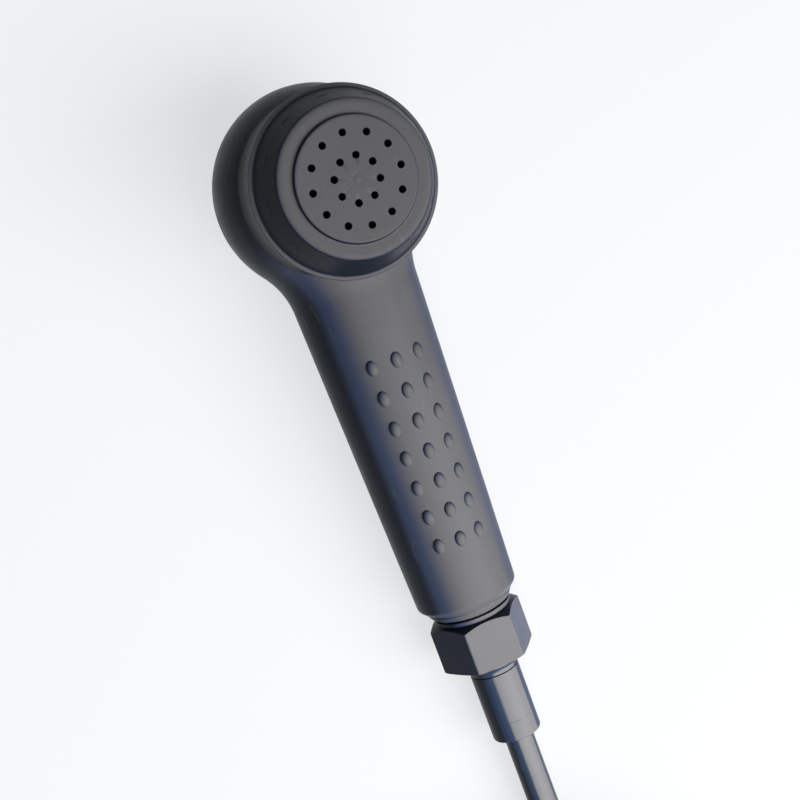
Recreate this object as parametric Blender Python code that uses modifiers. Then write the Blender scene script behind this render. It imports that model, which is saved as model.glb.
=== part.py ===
# Hand shower with a screw-off spray cap, a G1/2 hose nut and a 1.5 m hose put away in a tied hank.
# Metres, +Z up. The handset lies on its back, its spray face up, on the ball of the head and the handle foot.
# Handset axes: origin at the foot of the handle on its axis, +Y toward the head, +Z along the spray.

import math

import bmesh
import bpy
import numpy as np
from mathutils import Matrix, Vector

# Driving dimensions
MM = 0.001
NUT_FLATS = 24.0 * MM
NUT_CORNER_R = NUT_FLATS / math.sqrt(3.0)
CLEAR = 0.3 * MM
WALL = 2.6 * MM

# Head: a ball centred on the handle axis, and a round cup that rises from it along the spray axis
BALL_R = 28.0 * MM
BALL_Y = 121.44 * MM
CUP_STEP_IN = 4.3 * MM
CUP_R = BALL_R - CUP_STEP_IN
CUP_BLEND_R = 5.0 * MM
CUP_SEAT_Z = BALL_R
CUP_WALL = 2.1 * MM
CUP_BORE_R = CUP_R - CUP_WALL
CUP_BORE_DEEP = 16.0 * MM
CUP_BORE_FLOOR_Z = CUP_SEAT_Z - CUP_BORE_DEEP
CUP_ROOT_Z = CUP_BORE_FLOOR_Z - 1.0 * MM

# Handle: a straight cone with a rounded foot and a threaded stub
CONE_FOOT_R = 14.625 * MM
CONE_SLOPE = 0.0324
NECK_FILLET_R = 21.0 * MM
FOOT_EDGE_Y = 1.9 * MM
FOOT_END_R = 11.7 * MM
FOOT_END_Y = -2.9 * MM
STUB_R = 10.35 * MM
STUB_END_Y = -12.5 * MM
STUB_BORE_R = 7.0 * MM
WATERWAY_FLOOR_Y = 4.5 * MM
WATERWAY_NECK_Y = BALL_Y - BALL_R + 2.56 * MM

# Grip dimples on the spray side of the handle
DIMPLE_ROWS = 7
DIMPLE_FIRST_Y = 73.06 * MM
DIMPLE_PITCH = 8.734 * MM
DIMPLE_SPREAD = math.radians(23.44)
DIMPLE_LONG = 4.6 * MM
DIMPLE_WIDE = 3.2 * MM
DIMPLE_DEEP = 0.8 * MM

# Spray cap
CAP_RISE = 13.73 * MM
CAP_TOP_Z = CUP_SEAT_Z + CAP_RISE
CAP_DISC_R = CUP_R - 8.0 * MM
CAP_RING_Z = CAP_TOP_Z - 1.28 * MM
CAP_RING_EDGE_R = CUP_R - 3.94 * MM
CAP_RING_EDGE_Z = CAP_RING_Z - 0.96 * MM
CAP_BAND_FOOT_R = CUP_R - 0.4 * MM
CAP_BAND_FOOT_Z = CUP_SEAT_Z + 2.7 * MM
CAP_RIM_R = CUP_R + 0.8 * MM
CAP_RIM_TOP_Z = CUP_SEAT_Z + 2.0 * MM
CAP_RIM_UNDER_Z = CUP_SEAT_Z + 1.0 * MM
CAP_SKIRT_R = CUP_BORE_R - CLEAR
CAP_SKIRT_LONG = 8.0 * MM
CAP_SKIRT_END_Z = CAP_RIM_UNDER_Z - CAP_SKIRT_LONG
CAP_SHOULDER_Z = CAP_RIM_UNDER_Z + 4.0 * MM
CAP_WALL = 2.0 * MM
CAP_TURN = math.radians(57.87)
HOLE_R = 0.95 * MM
OUTER_HOLES = 12
OUTER_HOLE_RING = 11.57 * MM
INNER_HOLES = 8
INNER_HOLE_RING = 5.77 * MM
INNER_HOLE_TURN = math.radians(15.03)

# Flat seal under the rim of the cap
CAP_SEAL_INNER_R = CAP_SKIRT_R + CLEAR + 0.3 * MM
CAP_SEAL_OUTER_R = CUP_R - 0.2 * MM
CAP_SEAL_UNDER_Z = CUP_SEAT_Z + CLEAR
CAP_SEAL_TOP_Z = CAP_RIM_UNDER_Z - CLEAR

# Hose nut
NUT_TOP_Y = -3.6 * MM
NUT_LIP_R = 11.5 * MM
NUT_LIP_END_Y = -4.4 * MM
NUT_GROOVE_R = 11.1 * MM
NUT_CHAMFER_R = 11.6 * MM
NUT_CHAMFER_Y = -5.1 * MM
NUT_CORNER_Y = -6.45 * MM
NUT_END_Y = -18.0 * MM
NUT_BORE_R = STUB_R + CLEAR
NUT_SHELF_Y = -16.2 * MM
NUT_HOLE_R = 6.2 * MM
NUT_TURN = math.radians(-93.08)

# Hose tail piece, washer and crimped ferrule
WASHER_TOP_Y = STUB_END_Y - CLEAR
WASHER_END_Y = -14.6 * MM
WASHER_R = 9.5 * MM
WASHER_HOLE_R = 6.0 * MM
FLANGE_TOP_Y = WASHER_END_Y - CLEAR
FLANGE_END_Y = NUT_SHELF_Y + CLEAR
FLANGE_R = 9.6 * MM
TAIL_NECK_R = NUT_HOLE_R - CLEAR
COLLAR_TOP_Y = NUT_END_Y - CLEAR
COLLAR_END_Y = -22.3 * MM
COLLAR_R = 7.65 * MM
BARB_R = 2.7 * MM
BARB_CREST_R = 2.9 * MM
BARB_END_Y = -40.0 * MM
TAIL_BORE_R = 1.8 * MM
FERRULE_TOP_Y = COLLAR_END_Y - CLEAR
FERRULE_END_Y = -43.5 * MM
FERRULE_CORNER_R = 7.16 * MM
FERRULE_TURN = math.radians(-23.1)

# Hose
HOSE_D = 8.6 * MM
HOSE_R = HOSE_D / 2.0
FERRULE_BORE_R = HOSE_R + CLEAR
HOSE_START_Y = FERRULE_TOP_Y - 0.6 * MM
HOSE_SOCKET_R = BARB_CREST_R + 0.2 * MM
HOSE_SOCKET_END_Y = BARB_END_Y - 1.0 * MM

# Lie of the handset: turned about X until the ball and the edge of the handle foot touch the floor
FOOT_EDGE_R = CONE_FOOT_R + CONE_SLOPE * FOOT_EDGE_Y
FOOT_TO_BALL = math.hypot(BALL_Y - FOOT_EDGE_Y, FOOT_EDGE_R)
REST_TILT = math.asin(BALL_R / FOOT_TO_BALL) - math.atan2(FOOT_EDGE_R, BALL_Y - FOOT_EDGE_Y)
HANDSET_BACK = 52.36 * MM
HANDSET_AT = Vector((0.0, -HANDSET_BACK, BALL_R - BALL_Y * math.sin(REST_TILT)))

# Hank: four layers of one loop each, wound in and out again beside the way the hose leaves
LAYER_STEP = 9.2 * MM
LAYERS = 4
HANK_X = -11.5 * MM
FOLD_R = 30.4 * MM
SPIRAL_HALF = LAYER_STEP / 2.0
HANK_RUN = 55.9 * MM
CLIMB_BEFORE = 0.31
CLIMB_OVER = 0.5
TIE_THICK = 1.2 * MM
TIE_WIDE = 8.0 * MM
TIE_CLEAR = 0.6 * MM
HANK_BASE_Z = TIE_THICK + TIE_CLEAR + HOSE_R
LEAD_BEND_Y = -122.0 * MM
LEAD_BEND_R = 35.0 * MM
LEAD_FOLD_R = 37.7 * MM
LEVEL_BLEND = 8.0 * MM
FAR_AXIS_Z = HANK_BASE_Z + (LAYERS - 1) * LAYER_STEP + HOSE_R + NUT_CORNER_R + 0.5 * MM
FAR_X_IN = 28.5 * MM
FAR_STRAIGHT = 9.5 * MM
FAR_NUT_TURN = math.radians(-83.0)
FAR_FERRULE_TURN = math.radians(-10.0)
JOIN_GAP = 0.3 * MM

BODY_STEPS = 52
CAP_STEPS = 60
NUT_STEPS = 48
TAIL_STEPS = 28


for old in list(bpy.data.objects):
    bpy.data.objects.remove(old, do_unlink=True)

PARTS = bpy.data.collections.new("Hand shower")
CUTTERS = bpy.data.collections.new("Cutters")
bpy.context.scene.collection.children.link(PARTS)
bpy.context.scene.collection.children.link(CUTTERS)


def material(name, colour, roughness, metallic=0.0):
    mat = bpy.data.materials.new(name)
    mat.use_nodes = True
    shader = mat.node_tree.nodes["Principled BSDF"]
    shader.inputs["Base Color"].default_value = (colour[0], colour[1], colour[2], 1.0)
    shader.inputs["Roughness"].default_value = roughness
    shader.inputs["Metallic"].default_value = metallic
    mat.diffuse_color = (colour[0], colour[1], colour[2], 1.0)
    return mat


def body_plastic():
    return material("body_plastic", (0.055, 0.055, 0.060), 0.42)


def cap_plastic():
    return material("cap_plastic", (0.062, 0.061, 0.066), 0.46)


def nut_plastic():
    return material("nut_plastic", (0.050, 0.050, 0.054), 0.38)


def tail_plastic():
    return material("tail_plastic", (0.040, 0.040, 0.043), 0.40)


def ferrule_plastic():
    return material("ferrule_plastic", (0.060, 0.060, 0.065), 0.36)


def seal_rubber():
    return material("seal_rubber", (0.018, 0.018, 0.020), 0.75)


def washer_rubber():
    return material("washer_rubber", (0.022, 0.021, 0.021), 0.78)


def hose_vinyl():
    return material("hose_vinyl", (0.066, 0.066, 0.071), 0.34)


def tie_vinyl():
    return material("tie_vinyl", (0.015, 0.015, 0.016), 0.55)


def axes(name, location, tilt):
    empty = bpy.data.objects.new(name, None)
    empty.empty_display_size = 0.02
    empty.location = location
    empty.rotation_euler = (tilt, 0.0, 0.0)
    PARTS.objects.link(empty)
    return empty


HANDSET = axes("handset_axes", HANDSET_AT, REST_TILT)


def as_cutter(obj):
    obj.hide_render = True
    obj.display_type = "WIRE"
    return obj


def place(obj, parent, location, rotation):
    obj.parent = parent
    obj.location = location
    obj.rotation_euler = rotation
    return obj


# Pieces turned about the handle axis stand on this turn, so that their own Z runs along the handle
ALONG_HANDLE = (-math.pi / 2.0, 0.0, 0.0)
ALONG_SPRAY = (0.0, 0.0, 0.0)


def turned(name, profile, steps, closed, mat=None):
    mesh = bpy.data.meshes.new(name)
    count = len(profile)
    verts = [(r, 0.0, z) for r, z in profile]
    edges = [(i, i + 1) for i in range(count - 1)]
    if closed:
        edges.append((count - 1, 0))
    mesh.from_pydata(verts, edges, [])
    obj = bpy.data.objects.new(name, mesh)
    home = CUTTERS if mat is None else PARTS
    home.objects.link(obj)
    if mat is None:
        as_cutter(obj)
    else:
        mesh.materials.append(mat)
    screw = obj.modifiers.new("turn", "SCREW")
    screw.axis = "Z"
    screw.angle = math.tau
    screw.steps = steps
    screw.render_steps = steps
    screw.use_merge_vertices = True
    screw.merge_threshold = 0.00001
    screw.use_smooth_shade = False
    return obj


def solid_from_bmesh(name, build, mat=None):
    mesh = bpy.data.meshes.new(name)
    bm = bmesh.new()
    build(bm)
    bmesh.ops.recalc_face_normals(bm, faces=bm.faces)
    bm.to_mesh(mesh)
    bm.free()
    obj = bpy.data.objects.new(name, mesh)
    home = CUTTERS if mat is None else PARTS
    home.objects.link(obj)
    if mat is None:
        as_cutter(obj)
    else:
        mesh.materials.append(mat)
    return obj


def add_prism(bm, corner_r, low, high, turn, sides=6):
    lower = []
    upper = []
    for i in range(sides):
        a = turn + math.tau * i / sides
        lower.append(bm.verts.new((corner_r * math.cos(a), corner_r * math.sin(a), low)))
        upper.append(bm.verts.new((corner_r * math.cos(a), corner_r * math.sin(a), high)))
    for i in range(sides):
        j = (i + 1) % sides
        bm.faces.new((lower[i], lower[j], upper[j], upper[i]))
    bm.faces.new(lower[::-1])
    bm.faces.new(upper)


def boolean(obj, tool, operation):
    mod = obj.modifiers.new(tool.name, "BOOLEAN")
    mod.operation = operation
    mod.solver = "EXACT"
    mod.object = tool
    return mod


def arc(centre, radius, start, end, count):
    points = []
    for i in range(count + 1):
        a = start + (end - start) * i / count
        points.append((centre[0] + radius * math.cos(a), centre[1] + radius * math.sin(a)))
    return points


def cone_r(y):
    return CONE_FOOT_R + CONE_SLOPE * y


def neck_fillet():
    # Circle of NECK_FILLET_R that touches the cone from outside and the ball from outside
    lean = math.sqrt(1.0 + CONE_SLOPE ** 2)
    reach = cone_r(BALL_Y) + NECK_FILLET_R * lean
    a = 1.0 + CONE_SLOPE ** 2
    b = -2.0 * reach * CONE_SLOPE
    c = reach ** 2 - (BALL_R + NECK_FILLET_R) ** 2
    back = (-b + math.sqrt(b * b - 4.0 * a * c)) / (2.0 * a)
    centre = (reach - CONE_SLOPE * back, BALL_Y - back)
    on_ball = math.atan2(BALL_Y - centre[1], -centre[0])
    on_cone = math.atan2(CONE_SLOPE, -1.0)
    return centre, on_ball, on_cone


def body_profile():
    centre, on_ball, on_cone = neck_fillet()
    if on_ball < 0.0:
        on_ball += math.tau
    if on_cone < 0.0:
        on_cone += math.tau
    ball_end = math.atan2(centre[1] - BALL_Y, centre[0])
    points = [(0.0, BALL_Y + BALL_R)]
    points += arc((0.0, BALL_Y), BALL_R, math.radians(84.0), 0.0, 14)
    points += arc((0.0, BALL_Y), BALL_R, 0.0, ball_end, 7)[1:]
    points += arc(centre, NECK_FILLET_R, on_ball, on_cone, 9)[1:]
    points += [(cone_r(50.0 * MM), 50.0 * MM), (cone_r(FOOT_EDGE_Y), FOOT_EDGE_Y)]
    points += [(14.45 * MM, 1.1 * MM), (14.05 * MM, 0.45 * MM), (12.98 * MM, -0.75 * MM)]
    points += [(12.66 * MM, -0.80 * MM), (12.50 * MM, -1.05 * MM), (12.66 * MM, -1.35 * MM)]
    points += [(FOOT_END_R, FOOT_END_Y), (STUB_R, FOOT_END_Y), (STUB_R, STUB_END_Y + 0.6 * MM)]
    points += [(STUB_R - 0.6 * MM, STUB_END_Y), (0.0, STUB_END_Y)]
    return points


def waterway_profile():
    inner = BALL_R - WALL
    meet = math.radians(-46.0)
    points = [(0.0, BALL_Y + inner)]
    points += arc((0.0, BALL_Y), inner, math.radians(82.5), 0.0, 11)
    points += arc((0.0, BALL_Y), inner, 0.0, meet, 6)[1:]
    points += [(cone_r(WATERWAY_NECK_Y) - WALL, WATERWAY_NECK_Y)]
    points += [(cone_r(WATERWAY_FLOOR_Y + 3.0 * MM) - WALL, WATERWAY_FLOOR_Y + 3.0 * MM)]
    points += [(cone_r(0.0) - WALL - 3.0 * MM, WATERWAY_FLOOR_Y), (STUB_BORE_R, WATERWAY_FLOOR_Y)]
    points += [(STUB_BORE_R, STUB_END_Y - 2.0 * MM), (0.0, STUB_END_Y - 2.0 * MM)]
    return points


def cup_profile():
    side = CUP_R + CUP_BLEND_R
    drop = math.sqrt((BALL_R + CUP_BLEND_R) ** 2 - side ** 2)
    low = math.atan2(drop, side)
    points = [(0.0, CUP_SEAT_Z), (CUP_R, CUP_SEAT_Z)]
    points += arc((side, drop), CUP_BLEND_R, math.pi, math.pi + 0.72 * low, 3)
    points += [(CUP_R + 0.45 * MM, drop - 2.9 * MM), (CUP_R - 3.7 * MM, CUP_ROOT_Z), (0.0, CUP_ROOT_Z)]
    return points


def cup_bore_profile():
    return [(0.0, CUP_SEAT_Z + 3.0 * MM), (CUP_BORE_R, CUP_SEAT_Z + 3.0 * MM),
            (CUP_BORE_R, CUP_BORE_FLOOR_Z), (0.0, CUP_BORE_FLOOR_Z)]


def add_dimples(bm):
    for row in range(DIMPLE_ROWS):
        y = DIMPLE_FIRST_Y - DIMPLE_PITCH * row
        for column in (-1, 0, 1):
            azimuth = column * DIMPLE_SPREAD
            r = cone_r(y)
            at = Vector((r * math.sin(azimuth), y, r * math.cos(azimuth)))
            turn = Matrix.Rotation(azimuth, 4, "Y") @ Matrix.Rotation(-math.atan(CONE_SLOPE), 4, "X")
            size = Matrix.Diagonal((DIMPLE_WIDE / 2.0, DIMPLE_LONG / 2.0, DIMPLE_DEEP, 1.0))
            bmesh.ops.create_uvsphere(bm, u_segments=12, v_segments=6, radius=1.0,
                                      matrix=Matrix.Translation(at) @ turn @ size)


def handset_body():
    body = turned("handset_body", body_profile(), BODY_STEPS, False, body_plastic())
    place(body, HANDSET, (0.0, 0.0, 0.0), ALONG_HANDLE)
    cup = turned("cup_form", cup_profile(), BODY_STEPS, False)
    place(cup, HANDSET, (0.0, BALL_Y, 0.0), ALONG_SPRAY)
    waterway = turned("waterway_form", waterway_profile(), BODY_STEPS, False)
    place(waterway, HANDSET, (0.0, 0.0, 0.0), ALONG_HANDLE)
    cup_bore = turned("cup_bore_form", cup_bore_profile(), BODY_STEPS, False)
    place(cup_bore, HANDSET, (0.0, BALL_Y, 0.0), ALONG_SPRAY)
    dimples = solid_from_bmesh("dimple_form", add_dimples)
    place(dimples, HANDSET, (0.0, 0.0, 0.0), ALONG_SPRAY)
    boolean(body, dimples, "DIFFERENCE")
    boolean(body, cup, "UNION")
    boolean(body, waterway, "DIFFERENCE")
    boolean(body, cup_bore, "DIFFERENCE")
    return body


def cap_profile():
    inside_top = CAP_RING_Z - CAP_WALL - 0.6 * MM
    points = [(0.0, CAP_TOP_Z), (CAP_DISC_R - 0.7 * MM, CAP_TOP_Z)]
    points += [(CAP_DISC_R - 0.25 * MM, CAP_TOP_Z - 0.2 * MM), (CAP_DISC_R, CAP_TOP_Z - 0.65 * MM)]
    points += [(CAP_DISC_R + 0.15 * MM, CAP_RING_Z), (CAP_RING_EDGE_R - 1.6 * MM, CAP_RING_Z)]
    points += [(CAP_RING_EDGE_R - 0.6 * MM, CAP_RING_Z - 0.25 * MM), (CAP_RING_EDGE_R, CAP_RING_EDGE_Z)]
    points += [(CAP_BAND_FOOT_R - 0.35 * MM, CAP_BAND_FOOT_Z + 0.9 * MM), (CAP_BAND_FOOT_R, CAP_BAND_FOOT_Z)]
    points += [(CAP_RIM_R - 0.3 * MM, CAP_RIM_TOP_Z), (CAP_RIM_R, CAP_RIM_TOP_Z - 0.3 * MM)]
    points += [(CAP_RIM_R, CAP_RIM_UNDER_Z), (CAP_SKIRT_R, CAP_RIM_UNDER_Z)]
    points += [(CAP_SKIRT_R, CAP_SKIRT_END_Z), (CAP_SKIRT_R - CAP_WALL, CAP_SKIRT_END_Z)]
    points += [(CAP_SKIRT_R - CAP_WALL, CAP_SHOULDER_Z), (CAP_RING_EDGE_R - 3.2 * MM, inside_top)]
    points += [(0.0, inside_top)]
    return points


def add_holes(bm):
    rings = [(OUTER_HOLES, OUTER_HOLE_RING, 0.0), (INNER_HOLES, INNER_HOLE_RING, INNER_HOLE_TURN)]
    for count, ring, turn in rings:
        for i in range(count):
            a = turn + math.tau * i / count
            at = Matrix.Translation((ring * math.cos(a), ring * math.sin(a), CAP_RING_Z))
            bmesh.ops.create_cone(bm, cap_ends=True, segments=14, radius1=HOLE_R, radius2=HOLE_R,
                                  depth=12.0 * MM, matrix=at)


def spray_cap():
    cap = turned("spray_cap", cap_profile(), CAP_STEPS, False, cap_plastic())
    place(cap, HANDSET, (0.0, BALL_Y, 0.0), (0.0, 0.0, CAP_TURN))
    holes = solid_from_bmesh("spray_hole_form", add_holes)
    place(holes, HANDSET, (0.0, BALL_Y, 0.0), (0.0, 0.0, CAP_TURN))
    boolean(cap, holes, "DIFFERENCE")
    return cap


def cap_seal():
    profile = [(CAP_SEAL_INNER_R, CAP_SEAL_TOP_Z), (CAP_SEAL_OUTER_R, CAP_SEAL_TOP_Z),
               (CAP_SEAL_OUTER_R, CAP_SEAL_UNDER_Z), (CAP_SEAL_INNER_R, CAP_SEAL_UNDER_Z)]
    seal = turned("cap_seal", profile, CAP_STEPS, True, seal_rubber())
    return place(seal, HANDSET, (0.0, BALL_Y, 0.0), ALONG_SPRAY)


def nut_profile():
    beyond = NUT_CORNER_R + 0.4 * MM
    slope = (NUT_CHAMFER_Y - NUT_CORNER_Y) / (NUT_CORNER_R - NUT_CHAMFER_R)
    points = [(NUT_BORE_R, NUT_TOP_Y), (NUT_LIP_R - 0.2 * MM, NUT_TOP_Y), (NUT_LIP_R, NUT_TOP_Y - 0.2 * MM)]
    points += [(NUT_LIP_R, NUT_LIP_END_Y), (NUT_GROOVE_R, NUT_LIP_END_Y - 0.15 * MM)]
    points += [(NUT_GROOVE_R, NUT_CHAMFER_Y + 0.15 * MM), (NUT_CHAMFER_R, NUT_CHAMFER_Y)]
    points += [(beyond, NUT_CHAMFER_Y - slope * (beyond - NUT_CHAMFER_R))]
    points += [(beyond, NUT_END_Y + 0.8 * MM), (NUT_CORNER_R - 0.6 * MM, NUT_END_Y)]
    points += [(NUT_HOLE_R, NUT_END_Y), (NUT_HOLE_R, NUT_SHELF_Y), (NUT_BORE_R, NUT_SHELF_Y)]
    return points


def hose_nut(name, parent, turn):
    nut = turned(name, nut_profile(), NUT_STEPS, True, nut_plastic())
    place(nut, parent, (0.0, 0.0, 0.0), ALONG_HANDLE)
    flats = solid_from_bmesh(name + "_flats_form", lambda bm: add_prism(
        bm, NUT_CORNER_R, NUT_END_Y - 2.0 * MM, NUT_TOP_Y + 2.0 * MM, turn - math.pi / 2.0))
    place(flats, parent, (0.0, 0.0, 0.0), ALONG_HANDLE)
    boolean(nut, flats, "INTERSECT")
    return nut


def tail_washer(name, parent):
    profile = [(WASHER_HOLE_R, WASHER_TOP_Y), (WASHER_R, WASHER_TOP_Y),
               (WASHER_R, WASHER_END_Y), (WASHER_HOLE_R, WASHER_END_Y)]
    washer = turned(name, profile, TAIL_STEPS, True, washer_rubber())
    return place(washer, parent, (0.0, 0.0, 0.0), ALONG_HANDLE)


def tail_insert(name, parent):
    profile = [(TAIL_BORE_R + 1.6 * MM, FLANGE_TOP_Y), (FLANGE_R, FLANGE_TOP_Y), (FLANGE_R, FLANGE_END_Y)]
    profile += [(TAIL_NECK_R, FLANGE_END_Y), (TAIL_NECK_R, COLLAR_TOP_Y)]
    profile += [(COLLAR_R - 0.3 * MM, COLLAR_TOP_Y), (COLLAR_R, COLLAR_TOP_Y - 0.3 * MM)]
    profile += [(COLLAR_R, COLLAR_END_Y), (BARB_R, COLLAR_END_Y)]
    crest = COLLAR_END_Y - 3.0 * MM
    for _ in range(3):
        profile += [(BARB_R, crest), (BARB_CREST_R, crest - 0.4 * MM), (BARB_R, crest - 3.6 * MM)]
        crest -= 4.6 * MM
    profile += [(BARB_R - 0.3 * MM, BARB_END_Y), (TAIL_BORE_R, BARB_END_Y)]
    profile += [(TAIL_BORE_R, FLANGE_TOP_Y - 2.0 * MM)]
    insert = turned(name, profile, TAIL_STEPS, True, tail_plastic())
    return place(insert, parent, (0.0, 0.0, 0.0), ALONG_HANDLE)


def crimp_ferrule(name, parent, turn):
    ferrule = solid_from_bmesh(name, lambda bm: add_prism(
        bm, FERRULE_CORNER_R, FERRULE_END_Y, FERRULE_TOP_Y, turn - math.pi / 2.0), ferrule_plastic())
    place(ferrule, parent, (0.0, 0.0, 0.0), ALONG_HANDLE)
    dome = [(0.0, FERRULE_TOP_Y + 1.0 * MM), (FERRULE_CORNER_R + 0.2 * MM, FERRULE_TOP_Y + 1.0 * MM),
            (FERRULE_CORNER_R + 0.2 * MM, FERRULE_END_Y + 0.9 * MM), (6.1 * MM, FERRULE_END_Y),
            (0.0, FERRULE_END_Y)]
    blank = turned(name + "_blank_form", dome, TAIL_STEPS, False)
    place(blank, parent, (0.0, 0.0, 0.0), ALONG_HANDLE)
    bore = turned(name + "_bore_form", [(0.0, FERRULE_TOP_Y + 2.0 * MM), (FERRULE_BORE_R, FERRULE_TOP_Y + 2.0 * MM),
                                        (FERRULE_BORE_R, FERRULE_END_Y - 2.0 * MM),
                                        (0.0, FERRULE_END_Y - 2.0 * MM)], TAIL_STEPS, False)
    place(bore, parent, (0.0, 0.0, 0.0), ALONG_HANDLE)
    boolean(ferrule, blank, "INTERSECT")
    boolean(ferrule, bore, "DIFFERENCE")
    return ferrule


# Route of the hose, in the frame of the floor
def smooth(t):
    t = min(max(t, 0.0), 1.0)
    return t * t * (3.0 - 2.0 * t)


def on_handle_axis(y):
    return np.array([0.0, HANDSET_AT.y + y * math.cos(REST_TILT), HANDSET_AT.z + y * math.sin(REST_TILT)])


LEAD_SHIFT = LEAD_FOLD_R - FOLD_R - SPIRAL_HALF
LEAD_DX = LEAD_BEND_R - HANK_X + LEAD_SHIFT
FOLD_TOP_Y = LEAD_BEND_Y - math.sqrt((LEAD_BEND_R + LEAD_FOLD_R) ** 2 - LEAD_DX ** 2)
FOLD_LOW_Y = FOLD_TOP_Y - HANK_RUN
RUN_MID_Y = (FOLD_TOP_Y + FOLD_LOW_Y) / 2.0
LOOP_LENGTH = 2.0 * HANK_RUN + 2.0 * math.pi * FOLD_R
LAST_TURN = LAYERS + (HANK_RUN / 2.0 + math.pi * FOLD_R) / LOOP_LENGTH
FOLD_SEGMENTS = 9
RUN_SEGMENTS = 3


def loop_marks():
    # Fractions of one loop at which the hose has a point, from the middle of the run beside the lead
    half = HANK_RUN / 2.0
    fold = math.pi * FOLD_R
    marks = [0.0, half * 0.5]
    marks += [half + fold * i / FOLD_SEGMENTS for i in range(FOLD_SEGMENTS + 1)]
    marks += [half + fold + HANK_RUN * i / RUN_SEGMENTS for i in range(1, RUN_SEGMENTS)]
    marks += [half + fold + HANK_RUN + fold * i / FOLD_SEGMENTS for i in range(FOLD_SEGMENTS + 1)]
    marks += [half + 2.0 * fold + HANK_RUN + half * 0.5]
    return [m / LOOP_LENGTH for m in marks]


def spiral_r(u):
    if u <= LAYERS:
        return FOLD_R + SPIRAL_HALF * math.cos(math.pi * u)
    t = (u - LAYERS) / (LAST_TURN - LAYERS)
    start = FOLD_R + SPIRAL_HALF
    return start + (FAR_X_IN - start) * (1.0 - math.cos(math.pi * t)) / 2.0


def spiral_z(u):
    z = HANK_BASE_Z
    for k in range(1, LAYERS):
        z += LAYER_STEP * smooth((u - k + CLIMB_BEFORE) / CLIMB_OVER)
    top = HANK_BASE_Z + (LAYERS - 1) * LAYER_STEP
    last = LAYERS - 0.25
    return z + (FAR_AXIS_Z - top) * smooth((u - last) / (LAST_TURN - 0.02 - last))


def on_loop(u):
    r = spiral_r(u)
    s = (u % 1.0) * LOOP_LENGTH
    half = HANK_RUN / 2.0
    fold = math.pi * FOLD_R
    if s <= half:
        x, y = HANK_X + r, RUN_MID_Y - s
    elif s <= half + fold:
        a = -(s - half) / FOLD_R
        x, y = HANK_X + r * math.cos(a), FOLD_LOW_Y + r * math.sin(a)
    elif s <= half + fold + HANK_RUN:
        x, y = HANK_X - r, FOLD_LOW_Y + s - half - fold
    elif s <= half + 2.0 * fold + HANK_RUN:
        a = math.pi - (s - half - fold - HANK_RUN) / FOLD_R
        x, y = HANK_X + r * math.cos(a), FOLD_TOP_Y + r * math.sin(a)
    else:
        x, y = HANK_X + r, FOLD_TOP_Y - (s - half - 2.0 * fold - HANK_RUN)
    return np.array([x, y, spiral_z(u)])


def lead_points():
    # Straight out of the ferrule, down to the height of the lowest layer, and over to the side of the hank
    foot = on_handle_axis(FERRULE_END_Y)
    fall = math.tan(REST_TILT)
    knee = (foot[2] - HANK_BASE_Z) / fall

    def height(run):
        if run <= knee - LEVEL_BLEND:
            return foot[2] - fall * run
        if run >= knee + LEVEL_BLEND:
            return HANK_BASE_Z
        t = (knee + LEVEL_BLEND - run) / (2.0 * LEVEL_BLEND)
        return HANK_BASE_Z + fall * LEVEL_BLEND * t * t

    flat = []
    for y in (foot[1] - 9.0 * MM, foot[1] - 17.0 * MM, LEAD_BEND_Y):
        flat.append((0.0, y, foot[1] - y))
    turn = math.asin((LEAD_BEND_Y - FOLD_TOP_Y) / (LEAD_BEND_R + LEAD_FOLD_R))
    run = foot[1] - LEAD_BEND_Y
    for i in range(1, 5):
        a = turn * i / 4.0
        flat.append((LEAD_BEND_R * (1.0 - math.cos(a)), LEAD_BEND_Y - LEAD_BEND_R * math.sin(a),
                     run + LEAD_BEND_R * a))
    run += LEAD_BEND_R * turn
    for i in range(1, 5):
        a = turn * (1.0 - i / 4.0)
        flat.append((HANK_X - LEAD_SHIFT + LEAD_FOLD_R * math.cos(a), FOLD_TOP_Y + LEAD_FOLD_R * math.sin(a),
                     run + LEAD_FOLD_R * (turn - a)))
    points = [on_handle_axis(HOSE_START_Y), foot]
    points += [np.array([x, y, height(r)]) for x, y, r in flat]
    points.append(np.array([HANK_X + FOLD_R + SPIRAL_HALF, LEAD_END_Y, HANK_BASE_Z]))
    return points


LEAD_END_Y = FOLD_TOP_Y - HOSE_D - 1.0 * MM
END_SPLIT_Y = RUN_MID_Y - 11.0 * MM
FAR_FOOT_Y = FOLD_LOW_Y + FAR_STRAIGHT - FERRULE_END_Y


def end_split():
    # Place on the last run where the hank ends and the free end of the hose begins
    u = LAYERS + (RUN_MID_Y - END_SPLIT_Y) / LOOP_LENGTH
    here = on_loop(u)
    ahead = on_loop(u + 0.02)
    along = (ahead - here) / np.linalg.norm(ahead - here)
    return here, along


def hank_points():
    points = [np.array([HANK_X + FOLD_R + SPIRAL_HALF, LEAD_END_Y - JOIN_GAP, HANK_BASE_Z])]
    points.append(np.array([HANK_X + FOLD_R + SPIRAL_HALF, LEAD_END_Y - JOIN_GAP - HOSE_D, HANK_BASE_Z]))
    for layer in range(LAYERS):
        points += [on_loop(layer + mark) for mark in loop_marks()]
    here, along = end_split()
    points.append(here - along * HOSE_D)
    points.append(here)
    return points


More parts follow.
